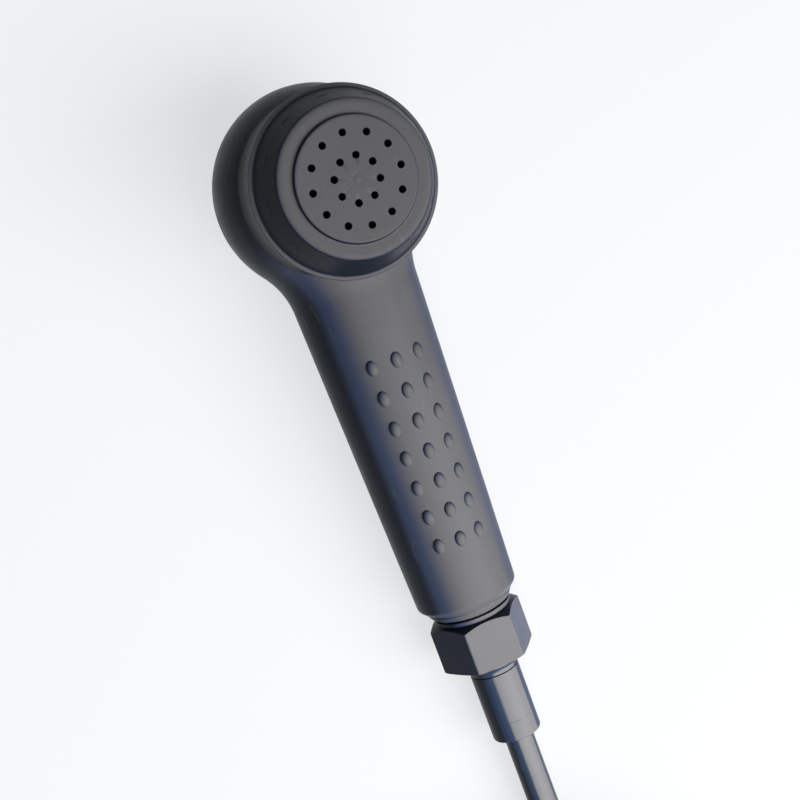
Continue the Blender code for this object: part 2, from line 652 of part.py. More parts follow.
def far_points():
    here, along = end_split()
    points = [here + along * JOIN_GAP, here + along * (JOIN_GAP + HOSE_D)]
    half = HANK_RUN / 2.0
    fold = math.pi * FOLD_R
    for i in range(FOLD_SEGMENTS + 1):
        points.append(on_loop(LAYERS + (half + fold * i / FOLD_SEGMENTS) / LOOP_LENGTH))
    x = HANK_X - FAR_X_IN
    points.append(np.array([x, FAR_FOOT_Y + FERRULE_END_Y, FAR_AXIS_Z]))
    points.append(np.array([x, FAR_FOOT_Y + HOSE_START_Y, FAR_AXIS_Z]))
    return points


def hose_tube(name, points, resolution, mat):
    curve = bpy.data.curves.new(name, "CURVE")
    curve.dimensions = "3D"
    curve.bevel_depth = HOSE_R
    curve.bevel_resolution = resolution
    curve.use_fill_caps = True
    spline = curve.splines.new("POLY")
    spline.points.add(len(points) - 1)
    for place_at, point in zip(spline.points, points):
        place_at.co = (point[0], point[1], point[2], 1.0)
    curve.materials.append(mat)
    obj = bpy.data.objects.new(name, curve)
    PARTS.objects.link(obj)
    return obj


def as_mesh(obj):
    # The tube as a closed mesh with its caps welded, so that its end can be bored
    name = obj.name
    mat = obj.data.materials[0]
    bpy.context.view_layer.update()
    graph = bpy.context.evaluated_depsgraph_get()
    mesh = bpy.data.meshes.new_from_object(obj.evaluated_get(graph))
    bm = bmesh.new()
    bm.from_mesh(mesh)
    bmesh.ops.remove_doubles(bm, verts=bm.verts, dist=0.00001)
    bmesh.ops.recalc_face_normals(bm, faces=bm.faces)
    bm.to_mesh(mesh)
    bm.free()
    if len(mesh.materials) == 0:
        mesh.materials.append(mat)
    bpy.data.objects.remove(obj, do_unlink=True)
    mesh.name = name
    solid = bpy.data.objects.new(name, mesh)
    PARTS.objects.link(solid)
    return solid


def socket(name, parent):
    form = turned(name, [(0.0, HOSE_START_Y + 2.0 * MM), (HOSE_SOCKET_R, HOSE_START_Y + 2.0 * MM),
                         (HOSE_SOCKET_R, HOSE_SOCKET_END_Y), (0.0, HOSE_SOCKET_END_Y)], TAIL_STEPS, False)
    return place(form, parent, (0.0, 0.0, 0.0), ALONG_HANDLE)


def hank_tie():
    # Flat strap round the run beside the lead, an upright ring with rounded corners
    strands = [on_loop(k) for k in range(LAYERS + 1)]
    left = min(p[0] for p in strands) - HOSE_R - TIE_CLEAR
    right = max(p[0] for p in strands) + HOSE_R + TIE_CLEAR
    low = min(p[2] for p in strands) - HOSE_R - TIE_CLEAR
    high = max(p[2] for p in strands) + HOSE_R + TIE_CLEAR + 0.6 * MM
    corner = HOSE_R + TIE_CLEAR

    def ring(grow):
        points = []
        r = corner + grow
        for cx, cz, start in ((right - corner, high - corner, 0.0), (left + corner, high - corner, 0.5),
                              (left + corner, low + corner, 1.0), (right - corner, low + corner, 1.5)):
            for i in range(6):
                a = math.pi * (start + 0.5 * i / 5.0)
                points.append((cx + r * math.cos(a), cz + r * math.sin(a)))
        return points

    inner = ring(0.0)
    outer = ring(TIE_THICK)

    def build(bm):
        count = len(inner)
        rows = []
        for outline, y in ((outer, -TIE_WIDE / 2.0), (inner, -TIE_WIDE / 2.0),
                           (inner, TIE_WIDE / 2.0), (outer, TIE_WIDE / 2.0)):
            rows.append([bm.verts.new((x, RUN_MID_Y + y, z)) for x, z in outline])
        for a in range(4):
            b = (a + 1) % 4
            for i in range(count):
                j = (i + 1) % count
                bm.faces.new((rows[a][i], rows[a][j], rows[b][j], rows[b][i]))

    return solid_from_bmesh("hank_tie", build, tie_vinyl())


def measure_route(points):
    # Length of the whole tube and the least gap between strands that lie side by side
    path = np.array(points)
    step = np.linalg.norm(np.diff(path, axis=0), axis=1)
    along = np.concatenate([[0.0], np.cumsum(step)])
    fine = np.arange(0.0, along[-1], 1.5 * MM)
    dense = np.stack([np.interp(fine, along, path[:, i]) for i in range(3)], axis=1)
    apart = np.linalg.norm(dense[:, None, :] - dense[None, :, :], axis=2)
    near = np.abs(fine[:, None] - fine[None, :]) < 4.0 * HOSE_D
    apart[near] = 1.0
    print("hose length mm", round(along[-1] / MM, 1))
    print("least gap mm", round((apart.min() - HOSE_D) / MM, 3))


def hose():
    mat = hose_vinyl()
    lead = as_mesh(hose_tube("hose_lead", lead_points(), 3, mat))
    boolean(lead, socket("hose_socket_form", HANDSET), "DIFFERENCE")
    hose_tube("hose_hank", hank_points(), 1, mat)
    end = as_mesh(hose_tube("hose_end", far_points(), 3, mat))
    boolean(end, socket("far_socket_form", FAR), "DIFFERENCE")
    measure_route(lead_points() + hank_points() + far_points())


handset_body()
cap_seal()
spray_cap()
hose_nut("hose_nut", HANDSET, NUT_TURN)
tail_washer("nut_washer", HANDSET)
tail_insert("hose_insert", HANDSET)
crimp_ferrule("hose_ferrule", HANDSET, FERRULE_TURN)
FAR = axes("far_axes", Vector((HANK_X - FAR_X_IN, FAR_FOOT_Y, FAR_AXIS_Z)), 0.0)
hose()
hank_tie()
crimp_ferrule("far_ferrule", FAR, FAR_FERRULE_TURN)
tail_insert("far_insert", FAR)
tail_washer("far_washer", FAR)
hose_nut("far_nut", FAR, FAR_NUT_TURN)
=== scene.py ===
# %% [markdown]
# A plastic hand shower, dressed on top of its CAD model. The CAD model is loaded first and stays fixed:
# it is the frame that every piece is set against, in metres, with +Z up. The handset lies on its back
# with its spray face up, and its own axes are tilted a few degrees, because the ball of the head is
# thicker than the foot of the handle.

# %% Load the frame
import math

import bmesh
import bpy
from mathutils import Matrix, Vector


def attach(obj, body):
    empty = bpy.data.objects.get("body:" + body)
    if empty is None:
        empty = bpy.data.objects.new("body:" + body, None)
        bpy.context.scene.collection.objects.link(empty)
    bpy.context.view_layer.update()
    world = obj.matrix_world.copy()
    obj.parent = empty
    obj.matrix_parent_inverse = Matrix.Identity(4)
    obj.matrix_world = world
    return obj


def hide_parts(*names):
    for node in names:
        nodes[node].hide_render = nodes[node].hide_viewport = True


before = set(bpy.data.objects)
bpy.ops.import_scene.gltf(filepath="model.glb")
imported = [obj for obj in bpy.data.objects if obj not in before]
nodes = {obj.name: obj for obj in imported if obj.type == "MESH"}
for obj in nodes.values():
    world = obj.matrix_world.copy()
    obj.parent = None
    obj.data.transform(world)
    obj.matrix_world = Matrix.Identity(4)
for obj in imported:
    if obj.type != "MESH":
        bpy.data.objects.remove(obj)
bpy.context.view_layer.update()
MM = 0.001

# %% [markdown]
# The camera stands where the photographer stood: almost overhead, a little to the side of the handset.
# It is described by the three directions of the picture, right, down and forward, because these are
# easy to check against the photo. A Blender camera looks along its own -Z with +Y up in the picture,
# so the down and forward directions change sign on their way into the matrix.

# %% Camera
PHOTO_WIDTH = 800.0
FOCAL_PIXELS = 1433.08
SENSOR_MM = 36.0
scene = bpy.context.scene
picture_right = Vector((0.8950045, -0.3703253, 0.2486485))
picture_down = Vector((-0.3772685, -0.9258664, -0.0209725))
picture_forward = Vector((0.2379819, -0.0750368, -0.9683667))
camera_at = Vector((-0.0930757, 0.0364212, 0.4051691))

camera_data = bpy.data.cameras.new("studio_camera")
camera_data.sensor_width = SENSOR_MM
camera_data.lens = SENSOR_MM * FOCAL_PIXELS / PHOTO_WIDTH
camera_data.clip_start = 0.02
camera = bpy.data.objects.new("studio_camera", camera_data)
turn = Matrix((picture_right, -picture_down, -picture_forward)).transposed()
camera.matrix_world = Matrix.Translation(camera_at) @ turn.to_4x4()
scene.collection.objects.link(camera)
scene.camera = camera
print("camera lens mm:", round(camera_data.lens, 2))

# %% [markdown]
# Two local frames carry nearly every piece. The handset frame has its origin at the foot of the handle
# on the handle's axis, +Y runs along the handle toward the head and +Z leaves the spray face. The supply
# frame is the same thing for the connector on the far end of the hose. Pieces are made in the simple
# local frame, where they are upright, and their finished mesh is moved by one of these two matrices.

# %% Local frames
REST_TILT = math.radians(6.439)
HANDSET = Matrix.Translation((0.0, -52.36 * MM, 14.381 * MM)) @ Matrix.Rotation(REST_TILT, 4, "X")
BALL_Y = 121.44 * MM
HEAD = HANDSET @ Matrix.Translation((0.0, BALL_Y, 0.0))
ALONG_HANDLE = Matrix.Rotation(-math.pi / 2.0, 4, "X")
HANDLE = HANDSET @ ALONG_HANDLE
print("tilt of the handset, degrees:", round(math.degrees(REST_TILT), 3))

# %% [markdown]
# The hose is 1.5 m of plain vinyl tube. The photo shows only its first few centimetres, so the rest is
# put away just outside the picture as a tied hank. The route is worked out from a few lengths and radii:
# a straight lead that comes down to the lowest layer, a soft double bend to the side of the hank, four
# loops wound in and out on four layers, and a last half loop that climbs on to the bundle.

# %% Hose route: its sizes
HOSE_D = 8.6 * MM
LAYER_STEP = 9.2 * MM
LAYERS = 4
HANK_X = -11.5 * MM
FOLD_R = 30.4 * MM
SPIRAL_HALF = LAYER_STEP / 2.0
HANK_RUN = 55.9 * MM
CLIMB_BEFORE = 0.31
CLIMB_OVER = 0.5
LAST_CLIMB_BEFORE = 0.25
LAST_CLIMB_DONE = 0.02
HANK_BASE_Z = 6.1 * MM
LEAD_BEND_Y = -122.0 * MM
LEAD_BEND_R = 35.0 * MM
LEAD_FOLD_R = 37.7 * MM
LEVEL_BLEND = 8.0 * MM
FERRULE_END_Y = -43.5 * MM
HOSE_START_Y = -23.2 * MM
NUT_CORNER_R = 24.0 * MM / math.sqrt(3.0)
NUT_CLEARANCE = 0.5 * MM
HANK_TOP_Z = HANK_BASE_Z + (LAYERS - 1) * LAYER_STEP
FAR_AXIS_Z = HANK_TOP_Z + HOSE_D / 2.0 + NUT_CORNER_R + NUT_CLEARANCE
FAR_X_IN = 28.5 * MM
FAR_STRAIGHT = 9.5 * MM

LEAD_SHIFT = LEAD_FOLD_R - FOLD_R - SPIRAL_HALF
bends_apart = LEAD_BEND_R + LEAD_FOLD_R
bends_across = LEAD_BEND_R - HANK_X + LEAD_SHIFT
FOLD_TOP_Y = LEAD_BEND_Y - math.sqrt(bends_apart ** 2 - bends_across ** 2)
FOLD_LOW_Y = FOLD_TOP_Y - HANK_RUN
RUN_MID_Y = (FOLD_TOP_Y + FOLD_LOW_Y) / 2.0
LOOP_LENGTH = 2.0 * HANK_RUN + 2.0 * math.pi * FOLD_R
LAST_TURN = LAYERS + (HANK_RUN / 2.0 + math.pi * FOLD_R) / LOOP_LENGTH
FAR_FOOT_Y = FOLD_LOW_Y + FAR_STRAIGHT - FERRULE_END_Y
SUPPLY = Matrix.Translation((HANK_X - FAR_X_IN, FAR_FOOT_Y, FAR_AXIS_Z))
FAR_CONNECTOR = SUPPLY @ ALONG_HANDLE
print("hank from y", round(FOLD_LOW_Y / MM, 1), "to", round(FOLD_TOP_Y / MM, 1), "mm")


# %% [markdown]
# A loop of the hank is a running track: two straight runs joined by two half circles. A turn number
# counts along it. The radius swings in and out once in two turns and the height climbs one layer where
# it swings back, so neighbouring strands always lie one diameter apart, beside or above each other.

# %% Hose route: one point on the hank
def ease(t):
    t = min(max(t, 0.0), 1.0)
    return t * t * (3.0 - 2.0 * t)


def loop_radius(turns):
    if turns <= LAYERS:
        return FOLD_R + SPIRAL_HALF * math.cos(math.pi * turns)
    t = (turns - LAYERS) / (LAST_TURN - LAYERS)
    start = FOLD_R + SPIRAL_HALF
    return start + (FAR_X_IN - start) * (1.0 - math.cos(math.pi * t)) / 2.0


def loop_height(turns):
    z = HANK_BASE_Z
    for layer in range(1, LAYERS):
        z += LAYER_STEP * ease((turns - layer + CLIMB_BEFORE) / CLIMB_OVER)
    last_climb = LAYERS - LAST_CLIMB_BEFORE
    done = LAST_TURN - LAST_CLIMB_DONE
    return z + (FAR_AXIS_Z - HANK_TOP_Z) * ease((turns - last_climb) / (done - last_climb))


def on_loop(turns):
    r = loop_radius(turns)
    s = (turns % 1.0) * LOOP_LENGTH
    half = HANK_RUN / 2.0
    fold = math.pi * FOLD_R
    if s <= half:
        x, y = HANK_X + r, RUN_MID_Y - s
    elif s <= half + fold:
        a = -(s - half) / FOLD_R
        x, y = HANK_X + r * math.cos(a), FOLD_LOW_Y + r * math.sin(a)
    elif s <= half + fold + HANK_RUN:
        x, y = HANK_X - r, FOLD_LOW_Y + s - half - fold
    elif s <= half + 2.0 * fold + HANK_RUN:
        a = math.pi - (s - half - fold - HANK_RUN) / FOLD_R
        x, y = HANK_X + r * math.cos(a), FOLD_TOP_Y + r * math.sin(a)
    else:
        x, y = HANK_X + r, FOLD_TOP_Y - (s - half - 2.0 * fold - HANK_RUN)
    return Vector((x, y, loop_height(turns)))


print("one turn of the hank mm:", round(LOOP_LENGTH / MM, 1))

# %% [markdown]
# The lead leaves the ferrule along the tilted handle axis. It would run into the floor, so its height
# is eased level where it reaches the lowest layer of the hank. Two arcs then lead it over to the side of
# the hank: one away from the handle's line and one back, which ends level with the first fold.

# %% Hose route: the lead
LEAD_STEPS = 12
BEND_STEPS = 14


def lead_height(run, start_z):
    fall = math.tan(REST_TILT)
    knee = (start_z - HANK_BASE_Z) / fall
    if run <= knee - LEVEL_BLEND:
        return start_z - fall * run
    if run >= knee + LEVEL_BLEND:
        return HANK_BASE_Z
    t = (knee + LEVEL_BLEND - run) / (2.0 * LEVEL_BLEND)
    return HANK_BASE_Z + fall * LEVEL_BLEND * t * t


def lead_route():
    foot = HANDSET @ Vector((0.0, FERRULE_END_Y, 0.0))
    points = [HANDSET @ Vector((0.0, HOSE_START_Y, 0.0)), foot]
    for i in range(1, LEAD_STEPS + 1):
        y = foot.y + (LEAD_BEND_Y - foot.y) * i / LEAD_STEPS
        points.append(Vector((0.0, y, lead_height(foot.y - y, foot.z))))
    bend = math.asin((LEAD_BEND_Y - FOLD_TOP_Y) / bends_apart)
    run = foot.y - LEAD_BEND_Y
    for i in range(1, BEND_STEPS + 1):
        a = bend * i / BEND_STEPS
        x = LEAD_BEND_R * (1.0 - math.cos(a))
        y = LEAD_BEND_Y - LEAD_BEND_R * math.sin(a)
        points.append(Vector((x, y, lead_height(run + LEAD_BEND_R * a, foot.z))))
    for i in range(1, BEND_STEPS + 1):
        a = bend * (1.0 - i / BEND_STEPS)
        x = HANK_X - LEAD_SHIFT + LEAD_FOLD_R * math.cos(a)
        y = FOLD_TOP_Y + LEAD_FOLD_R * math.sin(a)
        points.append(Vector((x, y, HANK_BASE_Z)))
    return points


lead = lead_route()
print("lead points:", len(lead), "lowest mm:", round(min(point.z for point in lead) / MM, 1))

# %% [markdown]
# The whole route is gathered as one list of points, which is both the hose's shape and the proof of its
# length. A few points join the lead to the middle of the first run, where the turns start to count, and
# the last ones go straight into the far ferrule.

# %% Hose route: the whole list
JOIN_STEP = 4.0 * MM
JOIN_POINTS = 5
HANK_POINTS = 460
INTO_FAR_FERRULE = (3.0, 9.5, 20.0, 29.8)


def hose_route():
    joined_x = HANK_X + FOLD_R + SPIRAL_HALF
    end_x = HANK_X - FAR_X_IN
    points = list(lead)
    for i in range(1, JOIN_POINTS + 1):
        points.append(Vector((joined_x, FOLD_TOP_Y - i * JOIN_STEP, HANK_BASE_Z)))
    points += [on_loop(LAST_TURN * i / HANK_POINTS) for i in range(HANK_POINTS + 1)]
    points += [Vector((end_x, FOLD_LOW_Y + y * MM, FAR_AXIS_Z)) for y in INTO_FAR_FERRULE]
    return points


route = hose_route()
hose_length = sum((b - a).length for a, b in zip(route, route[1:]))
print("hose points:", len(route), "length m:", round(hose_length, 4))

# %% [markdown]
# A few helpers serve every piece. Outlines are written in millimetres and turned into metres by the
# first. Another merges doubled points and turns the faces outward, and the next shades a mesh smoothly
# but keeps edges hard where two faces meet at more than a given angle. Modifiers and curves are evaluated
# once, and the result is kept as the piece's own mesh.

# %% Helpers for every mesh
DOUBLES_WITHIN = 0.001 * MM
CREASE_ANGLE = 35.0


def in_mm(points):
    return [(r * MM, z * MM) for r, z in points]


def in_scene(name, data):
    thing = bpy.data.objects.new(name, data)
    scene.collection.objects.link(thing)
    return thing


def close_up(bm):
    bmesh.ops.remove_doubles(bm, verts=bm.verts, dist=DOUBLES_WITHIN)
    bmesh.ops.recalc_face_normals(bm, faces=bm.faces)
    return bm


def shade_smoothly(mesh, crease=CREASE_ANGLE):
    for polygon in mesh.polygons:
        polygon.use_smooth = True
    mesh.set_sharp_from_angle(angle=math.radians(crease))


def evaluated_mesh(thing):
    bpy.context.view_layer.update()
    return bpy.data.meshes.new_from_object(thing.evaluated_get(bpy.context.evaluated_depsgraph_get()))


def keep_modifiers(piece):
    mesh = evaluated_mesh(piece)
    piece.modifiers.clear()
    piece.data = mesh
    mesh.name = piece.name
    return piece


print("edges sharper than", CREASE_ANGLE, "degrees stay hard")

# %% [markdown]
# A hose is easiest as a curve with a round bevel: the curve is the centre line and the bevel depth is
# the tube's radius. It is then turned into a mesh, so that its box is measured as it looks, and the
# capped ends disappear inside the crimped ferrules.

# %% Hose
HOSE_CREASE = 50.0


def tube_along(name, points, radius, resolution):
    curve = bpy.data.curves.new(name, "CURVE")
    curve.dimensions = "3D"
    curve.bevel_depth = radius
    curve.bevel_resolution = resolution
    curve.use_fill_caps = True
    spline = curve.splines.new("POLY")
    spline.points.add(len(points) - 1)
    for knot, point in zip(spline.points, points):
        knot.co = (point.x, point.y, point.z, 1.0)
    line = in_scene(name + "_line", curve)
    mesh = evaluated_mesh(line)
    bpy.data.objects.remove(line, do_unlink=True)
    bm = bmesh.new()
    bm.from_mesh(mesh)
    close_up(bm).to_mesh(mesh)
    bm.free()
    shade_smoothly(mesh, HOSE_CREASE)
    mesh.name = name
    return in_scene(name, mesh)


hose = tube_along("vinyl_hose", route, HOSE_D / 2.0, 7)
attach(hose, "hose_tail")
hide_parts("hose_lead", "hose_hank", "hose_end")
print("hose faces:", len(hose.data.polygons), "layers of UV:", len(hose.data.uv_layers))

# %% [markdown]
# The turned pieces all start as an outline: half of the section, from the top down, with the radius
# across and the height up. bmesh.ops.spin sweeps that wire once round. Points on the axis meet there, so
# doubles are merged and the faces turned outward. The finished form is moved to its place in its mesh.

# %% Helpers for turned pieces
def lathe(outline, steps, closed=False):
    bm = bmesh.new()
    verts = [bm.verts.new((r, 0.0, z)) for r, z in outline]
    following = verts[1:] + verts[:1] if closed else verts[1:]
    for a, b in zip(verts, following):
        bm.edges.new((a, b))
    bmesh.ops.spin(bm, geom=bm.verts[:] + bm.edges[:], cent=(0.0, 0.0, 0.0), axis=(0.0, 0.0, 1.0),
                   angle=math.tau, steps=steps, use_merge=True)
    return close_up(bm)


def arc(centre, radius, start, end, count):
    points = []
    for i in range(count + 1):
        a = start + (end - start) * i / count
        points.append((centre[0] + radius * math.cos(a), centre[1] + radius * math.sin(a)))
    return points


def finish_mesh(bm, name, place):
    mesh = bpy.data.meshes.new(name)
    bm.transform(place)
    bm.to_mesh(mesh)
    bm.free()
    shade_smoothly(mesh)
    return in_scene(name, mesh)


# %% [markdown]
# Forms are joined and cut with Boolean modifiers. After a Boolean, a large flat face shares its corners
# with the tiny faces of a cut edge, and smooth shading smears their tilt across the flat. Blender's
# Weighted Normal modifier cures that: at each corner the large face has the say.

# %% Helpers for cutting and clean shading
LARGE_FACE_WEIGHT = 90


def carve(piece, tools, operation, crease=CREASE_ANGLE):
    for tool in tools:
        cut = piece.modifiers.new("cut", "BOOLEAN")
        cut.operation = operation
        cut.solver = "EXACT"
        cut.object = tool
    keep_modifiers(piece)
    for tool in tools:
        bpy.data.objects.remove(tool, do_unlink=True)
    shade_smoothly(piece.data, crease)
    return piece


def even_shading(piece):
    even = piece.modifiers.new("even", "WEIGHTED_NORMAL")
    even.weight = LARGE_FACE_WEIGHT
    even.keep_sharp = True
    return keep_modifiers(piece)


# %% [markdown]
# The shell of the handset is one moulding. Its main form is turned about the handle: a ball, a hollow
# fillet and a slender cone that ends in a rounded foot and a threaded stub. The foot steps in through a
# fine ring and a cone before the stub starts.

# %% Handset shell: the foot and the stub
CONE_FOOT_R = 14.625 * MM
CONE_SLOPE = 0.0324
STUB_R = 10.35 * MM
STUB_END_Y = -12.5 * MM
STUB_CHAMFER = 0.6 * MM
FOOT_END_Y = -2.9 * MM


def cone_r(y):
    return CONE_FOOT_R + CONE_SLOPE * y


def foot_outline():
    foot_r = cone_r(1.2 * MM)
    edge = [(cone_r(1.9 * MM), 1.9 * MM), (foot_r - 0.04 * MM, 1.2 * MM), (foot_r - 0.14 * MM, 0.92 * MM),
            (foot_r - 0.34 * MM, 0.62 * MM)]
    ring = in_mm([(13.02, -0.72), (12.90, -0.80), (12.66, -0.82), (12.50, -1.05), (12.55, -1.32),
                  (12.46, -1.62), (11.85, -2.62), (11.65, -2.84)])
    stub = [(11.4 * MM, FOOT_END_Y), (STUB_R, FOOT_END_Y), (STUB_R, STUB_END_Y + STUB_CHAMFER),
            (STUB_R - STUB_CHAMFER, STUB_END_Y), (0.0, STUB_END_Y)]
    return edge + ring + stub


print("handle radius at the foot mm:", round(cone_r(0.0) / MM, 2))

# %% [markdown]
# The fillet between ball and handle is a circle that touches both from outside. Its centre is one radius
# away from the ball and from the cone, which gives a quadratic for how far it lies behind the ball.

# %% Handset shell: the outline along the handle
BALL_R = 28.0 * MM
NECK_FILLET_R = 21.0 * MM
SHELL_STEPS = 144


def fillet_centre():
    lean = math.sqrt(1.0 + CONE_SLOPE ** 2)
    reach = cone_r(BALL_Y) + NECK_FILLET_R * lean
    a = 1.0 + CONE_SLOPE ** 2
    b = -2.0 * reach * CONE_SLOPE
    c = reach ** 2 - (BALL_R + NECK_FILLET_R) ** 2
    back = (-b + math.sqrt(b * b - 4.0 * a * c)) / (2.0 * a)
    return reach - CONE_SLOPE * back, BALL_Y - back


def shell_outline():
    centre = fillet_centre()
    on_ball = math.atan2(BALL_Y - centre[1], -centre[0]) % math.tau
    on_cone = math.atan2(CONE_SLOPE, -1.0) % math.tau
    ball_end = math.atan2(centre[1] - BALL_Y, centre[0])
    points = arc((0.0, BALL_Y), BALL_R, math.pi / 2.0, ball_end, 52)
    points[0] = (0.0, BALL_Y + BALL_R)
    points += arc(centre, NECK_FILLET_R, on_ball, on_cone, 20)[1:]
    points += [(cone_r(y * MM), y * MM) for y in range(88, 3, -2)]
    return points + foot_outline()


shell = finish_mesh(lathe(shell_outline(), SHELL_STEPS), "handset_shell", HANDLE)
print("shell faces:", len(shell.data.polygons))

# %% [markdown]
# A round cup rises from the ball along the spray axis and carries the cap. It flares into the ball with
# a soft hollow, as a moulding does. The cup is turned on its own and joined to the shell later.

# %% Handset shell: the cup
CUP_R = 23.7 * MM
CUP_BLEND_R = 5.0 * MM
CUP_SEAT_Z = 28.0 * MM
CUP_EDGE = 0.25 * MM


def cup_outline():
    side = CUP_R + CUP_BLEND_R
    drop = math.sqrt((BALL_R + CUP_BLEND_R) ** 2 - side ** 2)
    low = math.atan2(drop, side)
    points = [(0.0, CUP_SEAT_Z), (CUP_R - CUP_EDGE, CUP_SEAT_Z), (CUP_R, CUP_SEAT_Z - CUP_EDGE)]
    points += arc((side, drop), CUP_BLEND_R, math.pi, math.pi + 0.94 * low, 7)
    return points + in_mm([(23.9, 13.2), (20.0, 11.0), (0.0, 11.0)])


cup_form = finish_mesh(lathe(cup_outline(), SHELL_STEPS), "cup_form", HEAD)
print("cup faces:", len(cup_form.data.polygons))

# %% [markdown]
# The handset is hollow. Two forms are made for its hollows, the bore of the cup and the waterway, which
# follows the outside at the depth of the wall and leaves through the stub. They are cut out at the end.

# %% Handset shell: the hollows
CUP_BORE_R = 21.6 * MM
WALL = 2.6 * MM
WATERWAY_R = 7.0 * MM


def waterway_outline():
    inner = BALL_R - WALL
    points = arc((0.0, BALL_Y), inner, math.pi / 2.0, math.radians(-46.0), 30)
    points[0] = (0.0, BALL_Y + inner)
    points += [(cone_r(y * MM) - WALL, y * MM) for y in (96.0, 7.5)]
    points += [(9.0 * MM, 4.5 * MM), (WATERWAY_R, 4.5 * MM), (WATERWAY_R, -15.0 * MM), (0.0, -15.0 * MM)]
    return points


bore_outline = [(0.0, 31.0 * MM), (CUP_BORE_R, 31.0 * MM), (CUP_BORE_R, 12.0 * MM), (0.0, 12.0 * MM)]
bore_form = finish_mesh(lathe(bore_outline, SHELL_STEPS), "bore_form", HEAD)
waterway_form = finish_mesh(lathe(waterway_outline(), SHELL_STEPS), "waterway_form", HANDLE)
print("hollow forms:", len(bore_form.data.polygons), "and", len(waterway_form.data.polygons), "faces")

# %% [markdown]
# The grip is a field of oval nubs, three columns by seven rows. Their tones in the photo say that they
# are raised: the side toward the head is as dark as the other faces that look that way, and the side
# toward the light is as pale as the handle beside it. One nub is a small turned dome with a steep foot.
# It is stretched along the handle and copied to its place with a matrix.

# %% Handset shell: grip nubs
NUB_SPREAD = math.radians(23.44)
NUB_ROWS = 7
NUB_ROW_STEP = 8.734
NUB_TOP_ROW = 73.06
NUB_SIZE = Matrix.Diagonal((1.6 * MM, 2.3 * MM, 1.0 * MM, 1.0))
NUB_DOME = [(0.0, 0.86), (0.12, 0.855), (0.26, 0.83), (0.40, 0.78), (0.54, 0.70), (0.67, 0.59), (0.78, 0.46),
            (0.87, 0.31), (0.94, 0.15), (0.99, -0.02), (1.01, -0.20), (1.01, -0.70), (0.0, -0.70)]


def nub():
    return lathe(NUB_DOME, 28)


def nub_places():
    lean = Matrix.Rotation(-math.atan(CONE_SLOPE), 4, "X")
    places = []
    for row in range(NUB_ROWS):
        y = (NUB_TOP_ROW - NUB_ROW_STEP * row) * MM
        for column in (-1, 0, 1):
            around = Matrix.Rotation(column * NUB_SPREAD, 4, "Y")
            out = Matrix.Translation((0.0, 0.0, cone_r(y)))
            places.append(Matrix.Translation((0.0, y, 0.0)) @ around @ out @ lean @ NUB_SIZE)
    return places


def copies(make, places):
    gathered = bmesh.new()
    for place in places:
        one = make()
        one.transform(place)
        part = bpy.data.meshes.new("copy_part")
        one.to_mesh(part)
        one.free()
        gathered.from_mesh(part)
        bpy.data.meshes.remove(part)
    return gathered


nub_form = finish_mesh(copies(nub, nub_places()), "nub_form", HANDSET)
print("nubs:", len(nub_places()), "faces:", len(nub_form.data.polygons))

# %% [markdown]
# Now the forms come together: nubs and cup are joined to the shell, and the hollows are cut out of the
# joined form, so that the wall stays closed and even behind them.

# %% Handset shell: joined
carve(shell, [nub_form], "UNION")
carve(shell, [cup_form], "UNION")
carve(shell, [waterway_form, bore_form], "DIFFERENCE", 32.0)
even_shading(shell)
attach(shell, "handset")
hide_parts("handset_body")
print("shell with cup and nubs:", len(shell.data.polygons), "faces")

# %% [markdown]
# The spray cap is a thin dish turned upside down. From the middle out it has the faint ring that the
# injection point left, a raised disc with the holes, a flat ring one step lower, a steep side band, and a
# thin rim that covers the seam to the cup. Under the rim a skirt reaches into the cup; it carries the
# screw thread.

# %% Spray cap: the turned dish
CAP_TURN = math.radians(57.87)
CAP_AT = HEAD @ Matrix.Rotation(CAP_TURN, 4, "Z")
CAP_STEPS = 180
DISC_TOP = 41.73


def cap_outline():
    injection_ring = [(0.0, DISC_TOP), (0.95, DISC_TOP), (1.03, 41.70), (1.15, 41.70), (1.23, DISC_TOP)]
    disc = [(14.85, DISC_TOP), (15.25, 41.64), (15.52, 41.42), (15.68, 41.05), (15.76, 40.52)]
    flat_ring = [(15.95, 40.43), (16.3, 40.45), (17.9, 40.45), (18.7, 40.38), (19.3, 40.14), (19.66, 39.78)]
    band = [(19.92, 39.1), (21.2, 35.9), (22.45, 32.7), (23.12, 30.85), (23.3, 30.45), (23.55, 30.15)]
    rim = [(23.85, 30.02), (24.2, 29.98), (24.42, 29.82), (24.5, 29.55), (24.46, 29.2), (24.3, 29.0)]
    skirt = [(21.3, 29.0), (21.3, 21.2), (21.1, 21.0), (19.5, 21.0), (19.3, 21.2), (19.3, 33.0)]
    underside = [(16.56, 37.85), (0.0, 37.85)]
    return in_mm(injection_ring + disc + flat_ring + band + rim + skirt + underside)


cap = finish_mesh(lathe(cap_outline(), CAP_STEPS), "perforated_cap", CAP_AT)
print("turned cap faces:", len(cap.data.polygons))

# %% [markdown]
# Twenty holes spray the water, twelve in an outer ring and eight in an inner one. The tools are plain
# drill forms with a short flare at the top, so that the cut leaves the tiny worn edge of a moulded hole.

# %% Spray cap: holes
HOLE_RINGS = ((12, 11.57, 0.0), (8, 5.77, math.radians(15.03)))
DRILL = [(0.0, 2.2), (1.08, 2.2), (1.08, 0.05), (0.97, -0.02), (0.93, -0.12), (0.93, -6.0), (0.0, -6.0)]


def drill():
    return lathe(in_mm(DRILL), 28)


def hole_places():
    places = []
    for count, ring, first in HOLE_RINGS:
        for i in range(count):
            a = first + math.tau * i / count
            x, y = ring * MM * math.cos(a), ring * MM * math.sin(a)
            places.append(Matrix.Translation((x, y, DISC_TOP * MM)))
    return places


